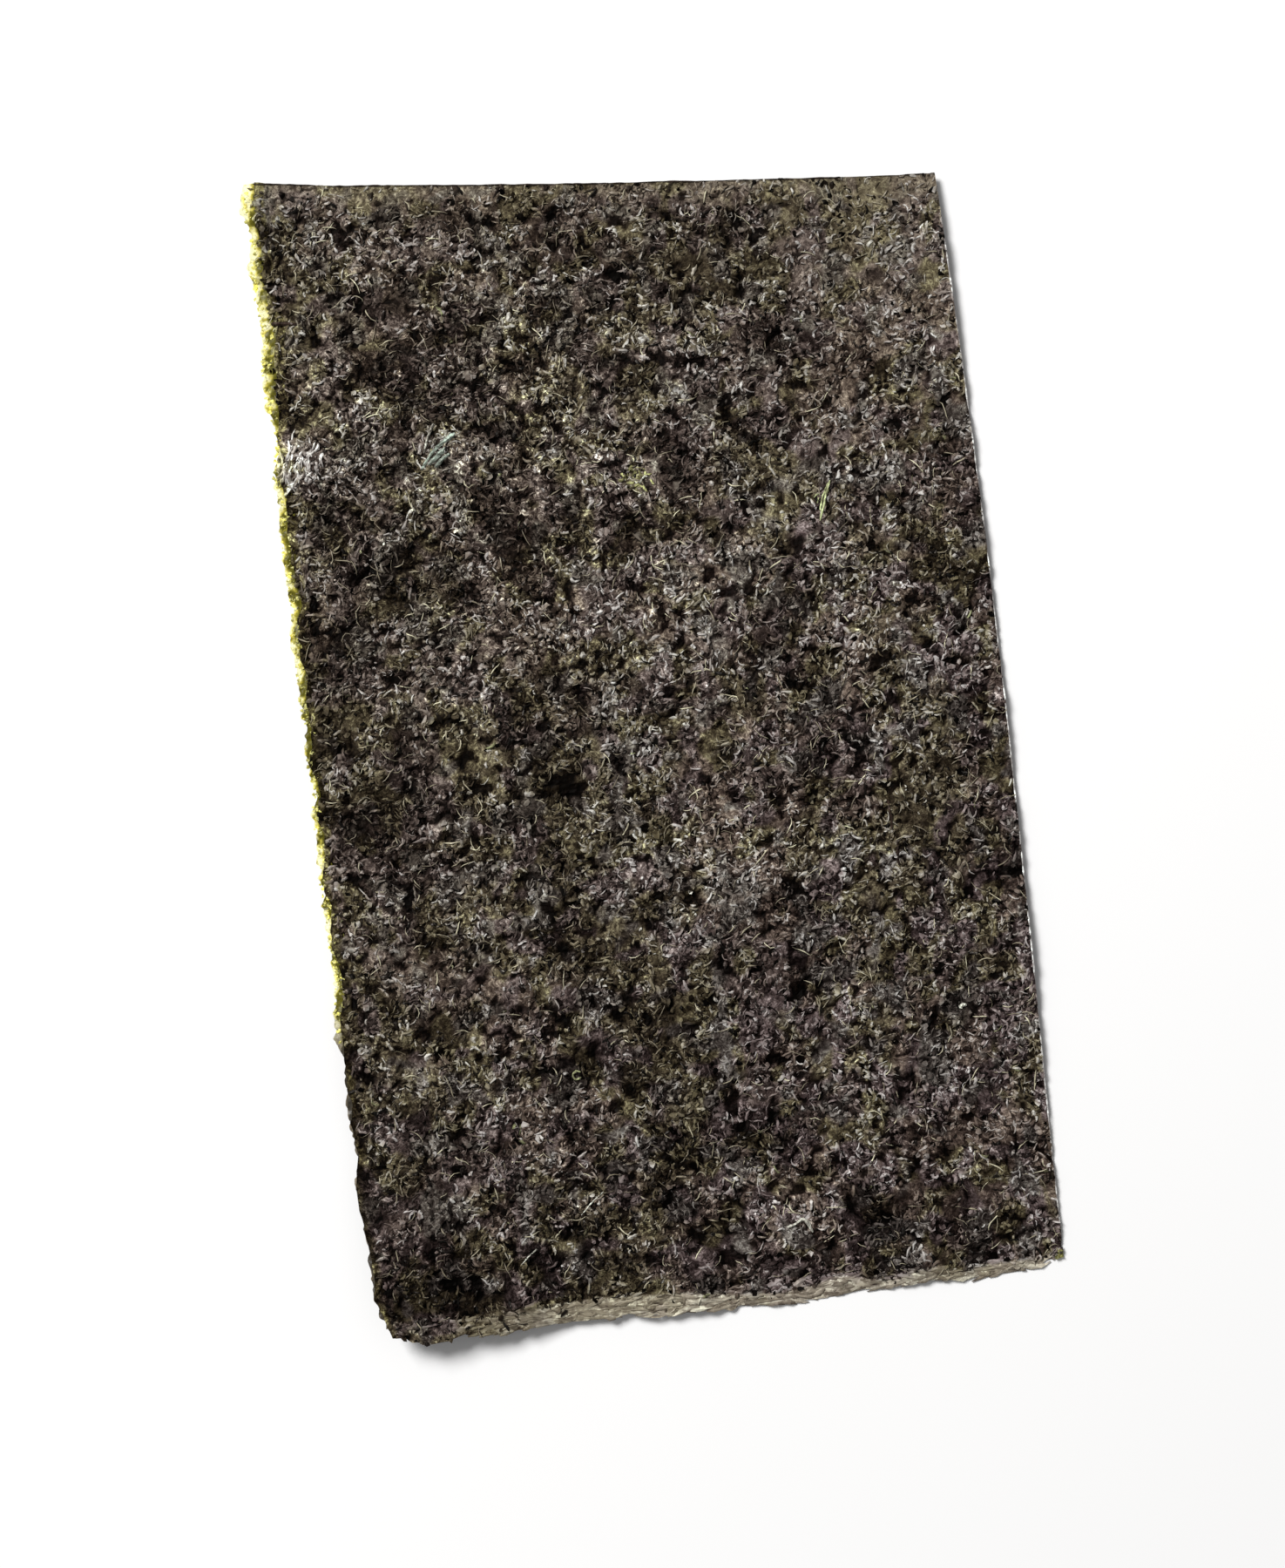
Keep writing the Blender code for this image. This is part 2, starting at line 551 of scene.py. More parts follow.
HOLLOWS = (
    Spot(-24.0, -48.73, 2.6),
    Spot(-17.0, -48.33, 1.5),
    Spot(16.0, -47.73, 2.2),
    Spot(-12.0, -18.23, 1.8),
    Spot(-16.0, 14.27, 1.4),
    Spot(-21.5, 18.27, 1.4),
    Spot(-11.0, 18.27, 1.8),
    Spot(-5.5, 40.27, 1.4),
    Spot(15.0, 36.27, 1.8),
    Spot(-26.0, -32.73, 1.5),
    Spot(-6.0, -31.73, 1.5),
    Spot(-30.0, -4.73, 1.8),
    Spot(-3.0, -2.73, 1.4),
)
PITS = (
    Spot(-5.75, 28.87, 0.7),
    Spot(15.2, 15.67, 0.9),
    Spot(-24.4, -49.13, 0.8),
    Spot(16.0, -47.93, 0.9),
)
LIGHT_SPOTS = (
    Spot(1.5, 22.27, 2.0),
    Spot(-16.5, 27.67, 2.2, 0.8),
    Spot(7.0, 12.27, 4.0, 0.6),
    Spot(5.0, -13.73, 3.0, 0.8),
    Spot(-12.0, -43.23, 1.8, 0.6),
    Spot(-27.0, -28.73, 3.0, 0.5),
    Spot(18.0, 39.27, 2.0, 0.8),
)
PLATES = (Spot(15.6, 16.7, 0.85),)
SMOOTH_CORNER = Spot(25.5, 40.0, 8.0, 0.55)


@dataclass(frozen=True)
class Pressing:
    """How light the pressed laver is at any point, its hue, and how it is crumpled."""

    outline: Outline
    shares: tuple[float, float, float] = (0.36, 0.28, 0.60)  # of broad, middle and close
    broad: Grain = Grain(8.0 * MM, 71)
    middle: Swirl = Swirl(Grain(3.1 * MM, 72), 1.2 * MM, 2.6 * MM)
    close: Swirl = Swirl(Grain(1.5 * MM, 73), 0.6 * MM, 1.3 * MM)
    folds: Swirl = Swirl(Grain(1.0 * MM, 74), 0.4 * MM, 0.9 * MM)
    wrinkles: Swirl = Swirl(Grain(0.62 * MM, 75), 0.25 * MM, 0.6 * MM)
    pits: Swirl = Swirl(Grain(0.72 * MM, 76), 0.5 * MM, 0.8 * MM)
    pit_above: float = 0.30
    pit_rim: float = 0.30
    pitted: Grain = Grain(2.4 * MM, 84)
    skins: Swirl = Swirl(Grain(1.7 * MM, 77), 0.8 * MM, 1.6 * MM)
    skin_above: float = 0.26
    skin_rim: float = 0.25
    wander: Grain = Grain(4.0 * MM, 79)
    streaks: Grain = Grain(0.32 * MM, 80)
    tints: tuple[Tint, ...] = (MOSS, PLUM, OLIVE, LILAC, TEAL)
    light: float = 0.345
    contrast: float = 3.4
    lightened: float = 0.6
    darkened: float = 0.75
    sharpest: tuple[float, float] = (-16 * MM, 28 * MM)
    sharp_reach: float = 32 * MM
    fold_depth: float = 0.14 * MM
    wrinkle_depth: float = 0.10 * MM
    pit_depth: float = 0.16 * MM
    sunk: float = 0.06 * MM
    top_band: float = 3.0 * MM
    top_wander: float = 1.6 * MM
    top_tone: float = 0.39
    plate_tone: float = 0.52
    calm_crest: float = 0.36
    lip_rim: float = 0.35 * MM
    lip_start: float = -24 * MM
    lip_fade: float = 8 * MM

    def blotch(self, x: Array, y: Array) -> Array:
        """Find the light and dark areas.

        Args:
            x: places across the sheet.
            y: places along it.

        Returns:
            From 0 where it is dark to 1 where it is light.
        """
        broad, middle, close = self.shares
        mixed = broad * self.broad.at(x, y) + middle * self.middle.at(x, y)
        mixed += close * self.close.at(x, y) + self.trend(x, y)
        for spot in LIGHT_SPOTS:
            mixed += self.lightened * spot.mask(x, y)
        for spot in HOLLOWS:
            mixed -= self.darkened * spot.mask(x, y)
        return 1 / (1 + np.exp(-self.contrast * self.crisp(x, y) * mixed))

    def crisp(self, x: Array, y: Array) -> Array:
        """Strengthen the contrast at the upper left, and weaken it along the right.

        Args:
            x: places across the sheet.
            y: places along it.

        Returns:
            The contrast at each place, about 1.
        """
        away = np.hypot(x - self.sharpest[0], y - self.sharpest[1]) / self.sharp_reach
        strong = 1.05 + 0.62 * (1 - smooth(away)) - 0.14 * smooth((x - 8 * MM) / (20 * MM))
        return strong - 0.22 * smooth((y - 36 * MM) / (8 * MM))

    def trend(self, x: Array, y: Array) -> Array:
        """Lighten the sheet towards its top and its right side.

        Args:
            x: places across the sheet.
            y: places along it.

        Returns:
            What it adds at each place.
        """
        up = 0.10 * x / (30 * MM) + 0.09 * y / (50 * MM)
        above_lip = self.outline.inside(Side.BOTTOM, x, y) / (6.0 * MM)
        return up - 0.45 * (1 - smooth(above_lip))

    def top(self, x: Array, y: Array) -> Array:
        """Find the smooth band along the top cut, and the smooth corner beside it.

        Args:
            x: places across the sheet.
            y: places along it.

        Returns:
            From 0 to 1 on the band.
        """
        depth = self.outline.inside(Side.TOP, x, y) + self.top_wander * self.wander.at(x, y)
        band = 1 - smooth(depth / self.top_band - 0.3)
        return np.maximum(band, SMOOTH_CORNER.mask(x, y))

    def lip(self, x: Array, y: Array) -> Array:
        """Find the pressed lip along the bottom edge.

        Args:
            x: places across the sheet.
            y: places along it.

        Returns:
            From 0 to 1 on the lip.
        """
        depth = self.outline.inside(Side.BOTTOM, x, y)
        width = LIP.width(x) * (0.85 + 0.4 * self.wander.at(x, 0 * y))
        shown = 0.25 + 0.75 * smooth((x - self.lip_start) / self.lip_fade)
        return shown * (1 - smooth((depth - width) / self.lip_rim))

    def plate(self, x: Array, y: Array) -> Array:
        """The flat flakes that stand out: light grey, partly as painted reflection."""
        return np.max([np.minimum(1.0, spot.mask(x, y)) for spot in PLATES], axis=0)

    def pit(self, x: Array, y: Array) -> Array:
        """Find the holes between the shreds.

        Args:
            x: places across the sheet.
            y: places along it.

        Returns:
            1 where a hole is deepest, 0 outside.
        """
        above = self.pit_above - 0.18 * self.pitted.at(x, y)
        hole = smooth((self.pits.at(x, y) - above) / self.pit_rim)
        for spot in PITS:
            hole = np.maximum(hole, spot.mask(x, y))
        return hole * (1 - 0.9 * self.lip(x, y)) * (1 - 0.7 * self.top(x, y))

    def calm(self, x: Array, y: Array) -> Array:
        """Find the smooth skins of laver with few shreds on them.

        Args:
            x: places across the sheet.
            y: places along it.

        Returns:
            1 at their middles, 0 outside.
        """
        skin = smooth((self.skins.at(x, y) - self.skin_above) / self.skin_rim)
        skin = np.maximum(skin, self.plate(x, y))
        return np.maximum(np.maximum(skin, 0.85 * self.top(x, y)), self.lip(x, y))

    def cover(self, x: Array, y: Array) -> Array:
        """How thickly shreds lie: few over holes and on smooth skins."""
        bare = (1 - 0.92 * self.pit(x, y)) * (1 - 0.80 * self.calm(x, y))
        return bare * (1 - 0.7 * self.lip(x, y))

    def relief(self, x: Array, y: Array) -> Array:
        """Crumple the upper face.

        Args:
            x: places across the sheet.
            y: places along it.

        Returns:
            The height over the plain face.
        """
        height = self.fold_depth * self.folds.crest(x, y)
        height += self.wrinkle_depth * self.wrinkles.crest(x, y)
        height *= 1 - 0.4 * self.calm(x, y)
        return height - self.pit_depth * self.pit(x, y) - self.sunk

    def tone(self, x: Array, y: Array) -> Array:
        """Say how light the laver is, with painted light on crests and painted shade in troughs and
        pits.

        Args:
            x: places across the sheet.
            y: places along it.

        Returns:
            From 0 at its darkest, seldom over 1.
        """
        lip = self.lip(x, y)
        # Painted light and shade: the crests that the relief raises are made lighter, the troughs
        # between them darker.
        crest = 0.5 * self.folds.crest(x, y) + 0.5 * self.wrinkles.crest(x, y)
        crest = crest**1.8 + (self.calm_crest - crest**1.8) * self.calm(x, y)
        lit = (0.05 + 0.95 * self.blotch(x, y) ** 1.3) * (0.08 + 0.92 * crest)
        lit += (self.top_tone - lit) * 0.8 * self.top(x, y)
        # The flat flakes get one light grey tone: partly their own colour, partly painted reflection
        # off their flat faces.
        lit += (self.plate_tone - lit) * self.plate(x, y)
        # The pressed lip is made much lighter: partly its own paler laver, partly painted highlight
        # where its edge catches the light.
        streak = 0.80 + 0.16 * smooth(x / (20 * MM) + 0.7) + self.streaks.at(0.22 * x, y)
        lit += (streak - lit) * lip
        # Painted shade: the laver goes almost black in the pits that the relief sinks.
        return np.clip(lit * (1 - 0.97 * self.pit(x, y)), 0, 1.6)

    def colour(self, x: Array, y: Array, tone: Array) -> Array:
        """Colour the laver: the lightest spots are the palest.

        Args:
            x: places across the sheet.
            y: places along it.
            tone: how light each place is.

        Returns:
            A colour for each place.
        """
        hue = np.broadcast_to(np.array(BROWN), (*np.shape(x), 3))
        for tint in self.tints:
            hue = tint.lay(x, y, hue)
        green = 0.35 * smooth(0.5 + (y - 1.2 * x) / (100 * MM))
        green = np.maximum(green, 0.6 * self.top(x, y))[..., None]
        near_left = self.outline.inside(Side.LEFT, x, y) - FILM.width(y)
        left = 0.75 * (1 - smooth((near_left + 0.2 * MM) / (0.7 * MM)))[..., None]
        lip = self.lip(x, y)[..., None]
        pale = 0.8 * smooth((tone - 0.25) / 0.9)[..., None] * (1 - left) * (1 - 0.7 * lip)
        for goal, share in (
            (MOSS.hue, green),
            (YELLOWISH, left),
            (LILAC.hue, self.plate(x, y)[..., None]),
            (KHAKI, 0.8 * lip),
            (PALE, pale),
        ):
            hue = hue + (np.array(goal) - hue) * share
        return hue * self.light * tone[..., None]


class HeightMap:
    """Height of a piece's upper face, sampled on a grid."""

    STEP = 0.4 * MM
    BORDER = 3 * MM
    ABOVE = 50 * MM

    def __init__(self, piece: bpy.types.Object) -> None:
        """Drop a ray on each grid point, and fill what lies past the edges.

        Args:
            piece: what is sampled.
        """
        tree = BVHTree.FromObject(piece, bpy.context.evaluated_depsgraph_get())
        points = np.array([corner[:] for corner in piece.bound_box])
        self.low = points.min(0)[:2] - self.BORDER
        size = points.max(0)[:2] + self.BORDER - self.low
        nx, ny = (int(math.ceil(length / self.STEP)) + 1 for length in size)
        down = Vector((0, 0, -1))
        grid = np.full((nx, ny), np.nan)
        for i in range(nx):
            x = self.low[0] + i * self.STEP
            for j in range(ny):
                y = self.low[1] + j * self.STEP
                hit = tree.ray_cast(Vector((x, y, self.ABOVE)), down)[0]
                if hit is not None:
                    grid[i, j] = hit.z
        self.grid = self._filled(grid)

    @staticmethod
    def _filled(grid: Array) -> Array:
        """Spread the heights outwards over the gaps.

        Args:
            grid: heights, with NaN in the gaps.

        Returns:
            The grid without gaps.
        """
        while np.isnan(grid).any():
            padded = np.pad(grid, 1, constant_values=np.nan)
            near = np.stack(
                [padded[:-2, 1:-1], padded[2:, 1:-1], padded[1:-1, :-2], padded[1:-1, 2:]]
            )
            known = ~np.isnan(near)
            mean = np.where(known, near, 0.0).sum(0) / np.maximum(known.sum(0), 1)
            gaps = np.isnan(grid) & known.any(0)
            grid = np.where(gaps, mean, grid)
        return grid

    def at(self, x: Array, y: Array) -> Array:
        """Read the height between the grid's points.

        Args:
            x: places across the sheet.
            y: places along it.

        Returns:
            The height at each place.
        """
        u = np.clip((x - self.low[0]) / self.STEP, 0, self.grid.shape[0] - 1.001)
        v = np.clip((y - self.low[1]) / self.STEP, 0, self.grid.shape[1] - 1.001)
        i, j = u.astype(int), v.astype(int)
        f, g = u - i, v - j
        g0 = self.grid[i, j] * (1 - f) + self.grid[i + 1, j] * f
        g1 = self.grid[i, j + 1] * (1 - f) + self.grid[i + 1, j + 1] * f
        return g0 * (1 - g) + g1 * g


# ---------------------------------------------------------------------- meshes


def deselect_all() -> None:
    """Leave nothing selected."""
    bpy.ops.object.select_all(action="DESELECT")


def add_piece(
    name: str, points: Array, faces: list, colour: Array, finish: object
) -> bpy.types.Object:
    """Make a piece of the object from arrays, and let it ride on the part.

    Args:
        name: the piece's name.
        points: one row for each vertex.
        faces: lists of vertex numbers.
        colour: a row of three for each vertex.
        finish: what it is made of.

    Returns:
        The new object.
    """
    mesh = bpy.data.meshes.new(name)
    mesh.from_pydata(points, [], faces)
    store_colour(mesh, colour)
    mesh.materials.append(finish.material())
    piece = bpy.data.objects.new(name, mesh)
    bpy.context.scene.collection.objects.link(piece)
    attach(piece, BODY)
    triangles = sum(len(face) - 2 for face in faces)
    log.info("%s: %d vertices, %d triangles", name, len(points), triangles)
    return piece


def store_colour(mesh: bpy.types.Mesh, colour: Array, mottle_and_shade_weight: Array | float = 1.0) -> None:
    """Keep the colours that the finish reads.

    Args:
        mesh: the mesh that gets them.
        colour: a row of three for each vertex.
        mottle_and_shade_weight: how strongly the mottling and the painted light and shade of the fine
            bump show at each vertex.
    """
    share = np.broadcast_to(np.asarray(mottle_and_shade_weight, float), len(colour))[:, None]
    rows = np.concatenate([colour, share], 1).astype(np.float32)
    layer = mesh.attributes.new("laver", "FLOAT_COLOR", "POINT")
    layer.data.foreach_set("color", rows.ravel())


@dataclass(frozen=True)
class Lip:
    """The pressed lip along the bottom edge: narrower towards its right end."""

    wide: float = 1.5
    narrowing: float = 0.7
    start: float = 10 * MM
    reach: float = 6 * MM

    def width(self, x: Array) -> Array:
        """Width of the lip at each place across the sheet."""
        return (self.wide - self.narrowing * smooth((x - self.start) / self.reach)) * MM


LIP = Lip()


@dataclass(frozen=True)
class Film:
    """The bare film along the left edge: wide at the top, none in the notch."""

    notch_at: float = 30.6 * MM
    notch_reach: float = 1.2 * MM
    seed: int = 306
    waves: tuple[tuple[float, float], ...] = ((6.0, 0.18), (1.6, 0.14), (0.7, 0.10))

    def width(self, y: Array) -> Array:
        """Size the film; the waves' lengths and depths are in millimetres.

        Args:
            y: places along the sheet.

        Returns:
            The width at each place.
        """
        notch = np.exp(-(((y - self.notch_at) / self.notch_reach) ** 2))
        width = 0.30 + 0.38 * smooth((y / MM + 30) / 12) + 0.55 * smooth((y / MM - 18) / 20)
        for length, depth in self.waves:
            width += depth * Grain(length * MM, self.seed).at(0 * y, y)
        return width * MM * (1 - 0.9 * notch)


FILM = Film()


@dataclass
class SheetBody:
    """The sheet itself: the solid's form, its upper face cut fine and crumpled."""

    outline: Outline
    pressing: Pressing
    name: str = "laver_sheet"
    upper_cuts: int = 5
    upward: float = 0.3
    fray: Grain = Grain(0.9 * MM, 13)
    fray_depth: float = 0.28 * MM
    fray_reach: float = 1.5 * MM
    lowest: float = 0.02 * MM
    highest: float = 3.31 * MM
    inset_reach: float = 3.0 * MM
    corner_slant: float = 0.25
    full_relief: float = 0.6
    underside: float = 0.4
    calm_mottle_and_shade: float = 0.25
    lip_mottle_and_shade: float = 0.4

    def build(self, solid: bpy.types.Object) -> bpy.types.Object:
        """Copy the solid, divide it, crumple it and dress it.

        Args:
            solid: the sheet's CAD solid.

        Returns:
            The body.
        """
        body = bpy.data.objects.new(self.name, solid.data.copy())
        bpy.context.scene.collection.objects.link(body)
        self._divide(body)
        self._crumple(body.data)
        body.data.materials.clear()
        body.data.materials.append(BODY_FINISH.material())
        body.data.shade_flat()
        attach(body, BODY)
        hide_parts(NODE)
        log.info("%s: %d triangles", self.name, len(body.data.polygons))
        return body

    def _divide(self, body: bpy.types.Object) -> None:
        """Join the loose triangles, and cut those of the upper face fine.

        Args:
            body: the piece, changed in place.
        """
        deselect_all()
        bpy.context.view_layer.objects.active = body
        body.select_set(True)
        bpy.ops.object.mode_set(mode="EDIT")
        bpy.ops.mesh.select_all(action="SELECT")
        bpy.ops.mesh.remove_doubles(threshold=JOIN)
        bpy.ops.mesh.select_all(action="DESELECT")
        bpy.ops.object.mode_set(mode="OBJECT")
        for face in body.data.polygons:
            face.select = face.normal.z > self.upward
        bpy.ops.object.mode_set(mode="EDIT")
        bpy.ops.mesh.subdivide(number_cuts=self.upper_cuts, smoothness=0.0)
        bpy.ops.mesh.select_all(action="SELECT")
        bpy.ops.mesh.quads_convert_to_tris()
        bpy.ops.object.mode_set(mode="OBJECT")

    def _crumple(self, mesh: bpy.types.Mesh) -> None:
        """Move the vertices: relief on the upper face, fray at the deckle edges.

        Args:
            mesh: the divided mesh, changed in place.
        """
        count = len(mesh.vertices)
        points = np.empty(count * 3)
        mesh.vertices.foreach_get("co", points)
        points = points.reshape(-1, 3)
        normals = np.array([vertex.normal[:] for vertex in mesh.vertices])
        x, y = points[:, 0].copy(), points[:, 1].copy()
        upper = smooth(normals[:, 2] / self.full_relief)
        points[:, 2] += self.pressing.relief(x, y) * upper
        for axis, side in ((0, Side.LEFT), (1, Side.BOTTOM)):
            near = 1.0 - smooth(self.outline.inside(side, x, y) / self.fray_reach)
            points[:, axis] += self.fray_depth * near * self.fray.at(x, y)
        rounded = self.outline.corner(x, y)
        points[:, 0] -= self.corner_slant * rounded
        points[:, 1] += rounded
        from_left = self.outline.inside(Side.LEFT, x, y)
        points[:, 0] += FILM.width(y) * (1.0 - smooth(from_left / self.inset_reach))
        floor = np.where(upper > 0.5, self.lowest, 0.0)
        points[:, 2] = np.clip(points[:, 2], floor, self.highest)
        mesh.vertices.foreach_set("co", points.ravel())
        mesh.update()
        tone = self.pressing.tone(x, y) * np.where(upper > 0.1, 1.0, self.underside)
        # How strongly the mottling and the painted light and shade of the fine bump show; less on
        # calm skins and on the lip.
        mottle_and_shade_weight = 1.0 - self.calm_mottle_and_shade * self.pressing.calm(x, y)
        mottle_and_shade_weight -= self.lip_mottle_and_shade * self.pressing.lip(x, y)
        mottle_and_shade_weight *= self.pressing.crisp(x, y)
        store_colour(mesh, self.pressing.colour(x, y, tone), mottle_and_shade_weight)


@dataclass
class Clumps:
    """Where shreds of one kind gather, and which way they lie."""

    broad: Grain
    close: Grain
    even: float
    sharpness: float = 6.0
    shares: tuple[float, float] = (0.55, 0.75)  # of broad and close
    flow: Grain = Grain(5.0 * MM, 78)

    def density(self, ground: "Ground", x: Array, y: Array) -> Array:
        """Thicken the shreds where both grains are high.

        Args:
            ground: what they lie on.
            x: places across the sheet.
            y: places along it.

        Returns:
            Their share at each place.
        """
        blend = self.shares[0] * self.broad.at(x, y) + self.shares[1] * self.close.at(x, y)
        share = self.even + (1 - self.even) / (1 + np.exp(-self.sharpness * blend))
        inner = smooth(ground.outline.inside(Side.LEFT, x, y) / MM - 0.5)
        return share * inner * ground.pressing.cover(x, y)

    def heading(self, x: Array, y: Array) -> Array:
        """Direction of the shreds at each point."""
        return 2 * math.pi * self.flow.at(x, y)


@dataclass
class OneWay:
    """A place whose shreds all lie one way."""

    turn: float = 0.0

    def heading(self, x: Array, y: Array) -> Array:
        """Direction of the shreds at each point."""
        return np.full(np.shape(x), self.turn)


@dataclass
class AlongLip(OneWay):
    """Shreds pressed flat along the bottom edge."""

    turn: float = 0.02
    start: float = -26.0 * MM
    fade: float = 8 * MM
    clear: float = 2 * MM
    rim: float = 0.5 * MM

    def density(self, ground: "Ground", x: Array, y: Array) -> Array:
        """Keep to the lip, and thin out at its left end.

        Args:
            ground: what they lie on.
            x: places across the sheet.
            y: places along it.

        Returns:
            Their share at each place.
        """
        near = ground.outline.inside(Side.BOTTOM, x, y)
        shown = 0.1 + 0.9 * smooth((x - self.start) / self.fade)
        shown *= smooth(ground.outline.inside(Side.RIGHT, x, y) / self.clear - 1.0)
        return shown * (1 - smooth((near - LIP.width(x)) / self.rim))


@dataclass
class AlongLeft(OneWay):
    """Bits of laver on the thin left margin, down to where it turns plain."""

    turn: float = 0.5 * math.pi
    reach: float = 1.1 * MM
    start: float = -26.0 * MM
    fade: float = 4 * MM

    def density(self, ground: "Ground", x: Array, y: Array) -> Array:
        """Share of bits at each point."""
        near = 1 - smooth(ground.outline.inside(Side.LEFT, x, y) / self.reach)
        return near * smooth((y - self.start) / self.fade)


@dataclass
class AtSpot(OneWay):
    """Shreds gathered at one spot."""

    spot: Spot = Spot(0.0, 0.0, 1.0)

    def density(self, ground: "Ground", x: Array, y: Array) -> Array:
        """Share of shreds at each point."""
        return self.spot.mask(x, y)


Places = Clumps | AlongLip | AlongLeft | AtSpot


@dataclass
class Ground:
    """What shreds are laid on: the sheet's outline and its heights."""

    outline: Outline
    heights: HeightMap
    pressing: Pressing
    overhang: float = 0.35 * MM
    corner_share: float = 1.2
    draws: int = 100_000
    lowest: float = 0.01 * MM
    highest: float = 3.33 * MM

    def scatter(self, count: int, where: Places, rng: np.random.Generator) -> tuple[Array, Array]:
        """Draw places on the sheet, thick where the density is high.

        Args:
            count: how many.
            where: what gives the density.
            rng: where the numbers come from.

        Returns:
            Their x and their y.
        """
        low, high = self.heights.low, -self.heights.low
        places = np.empty((0, 2))
        while len(places) < count:
            drawn = rng.uniform(low, high, (self.draws, 2))
            x, y = drawn[:, 0], drawn[:, 1]
            weight = where.density(self, x, y) * (self.margin(x, y) > 0)
            places = np.concatenate([places, drawn[rng.uniform(0, 1, self.draws) < weight]])
        return places[:count, 0], places[:count, 1]

    def margin(self, x: Array, y: Array) -> Array:
        """How far inside the nearest edge each point is."""
        return np.min([self.outline.inside(side, x, y) for side in Side], axis=0)

    def trim(self, points: Array, gap: float = INSET) -> None:
        """Bring what stands past the edges back to them, in place.

        Args:
            points: the points to move.
            gap: how far inside the left edge they have to stay.
        """
        right = self.outline.edge(Side.RIGHT, points[..., 1])
        np.minimum(points[..., 0], right, out=points[..., 0])
        top = self.outline.edge(Side.TOP, points[..., 0])
        np.minimum(points[..., 1], top, out=points[..., 1])
        left = self.outline.edge(Side.LEFT, points[..., 1]) + gap
        np.maximum(points[..., 0], left, out=points[..., 0])
        bottom = self.outline.edge(Side.BOTTOM, points[..., 0]) - self.overhang
        bottom += self.corner_share * self.outline.corner(points[..., 0])
        np.maximum(points[..., 1], bottom, out=points[..., 1])
        if points.shape[-1] == 3:
            np.clip(points[..., 2], self.lowest, self.highest, out=points[..., 2])


def ridged_strips(path: Array, wide: Array, ridge: Array, roll: Array, lean: Array) -> Array:
    """Sweep three-cornered sections along many paths at once.

    Args:
        path: middle lines, one row of stations for each strip.
        wide: half the width at each station.
        ridge: height of the crest over the base at each station.
        roll: turn of the section about the path.
        lean: how far the crest stands off the middle.

    Returns:
        Three corners for each station: two at the base, then the crest.
    """
    tangent = np.gradient(path, axis=1)
    tangent /= np.linalg.norm(tangent, axis=-1, keepdims=True) + TINY
    side = np.cross([0.0, 0.0, 1.0], tangent)
    side /= np.linalg.norm(side, axis=-1, keepdims=True) + TINY
    up = np.cross(tangent, side)
    wide, ridge, roll, lean = (part[..., None] for part in (wide, ridge, roll, lean))
    flat = np.cos(roll) * side + np.sin(roll) * up
    edge = np.cos(roll) * up - np.sin(roll) * side
    crest = path + edge * ridge + flat * lean
    return np.stack([path - flat * wide, path + flat * wide, crest], axis=2)


def strip_faces(strips: int, stations: int) -> list:
    """Close the sides and both ends of three-cornered strips.

    Args:
        strips: how many strips.
        stations: how many sections each has.

    Returns:
        Three vertex numbers for each face.
    """
    pattern = []
    for i in range(stations - 1):
        for j in range(3):
            a, b = 3 * i + j, 3 * i + (j + 1) % 3
            pattern += [(a, b, b + 3), (a, b + 3, a + 3)]
    last = 3 * (stations - 1)
    pattern += [(2, 1, 0), (last, last + 1, last + 2)]
    starts = np.arange(strips)[:, None, None] * (3 * stations)
    return (np.array(pattern)[None] + starts).reshape(-1, 3).tolist()


@dataclass
class Scatter:
    """Many small closed pieces of one kind, strewn where they belong."""

    name: str
    finish: LaverFinish | MarginFinish
    count: int
    where: Places
    seed: int
    gap: float = INSET
    hue: Colour | None = None
    tone_power: float = 2.1
    light: float = 3.1
    least: float = 0.0
    shade: float = 0.08
    paling: float = 0.15

    def lightness(self, ground: Ground, x: Array, y: Array, rng: np.random.Generator) -> Array:
        """Draw the lightness of each piece, higher on light areas.

        Args:
            ground: what they lie on.
            x: their places across the sheet.
            y: their places along it.
            rng: where the numbers come from.

        Returns:
            The lightness of each.
        """
        drawn = rng.uniform(0, 1, np.shape(x)) ** self.tone_power
        lit = self.shade + (1 - self.shade) * ground.pressing.blotch(x, y)
        tone = self.light * (self.least + drawn * lit)
        return tone / (1 + self.paling * tone)

    def dye(self, ground: Ground, points: Array, tone: Array) -> Array:
        """Give each vertex the hue of its place, or the kind's own.

        Args:
            ground: what they lie on.
            points: the vertices.
            tone: how light each vertex is.

        Returns:
            A colour for each vertex.
        """
        if self.hue is None:
            return ground.pressing.colour(points[..., 0], points[..., 1], tone)
        return np.array(self.hue) * ground.pressing.light * tone[..., None]


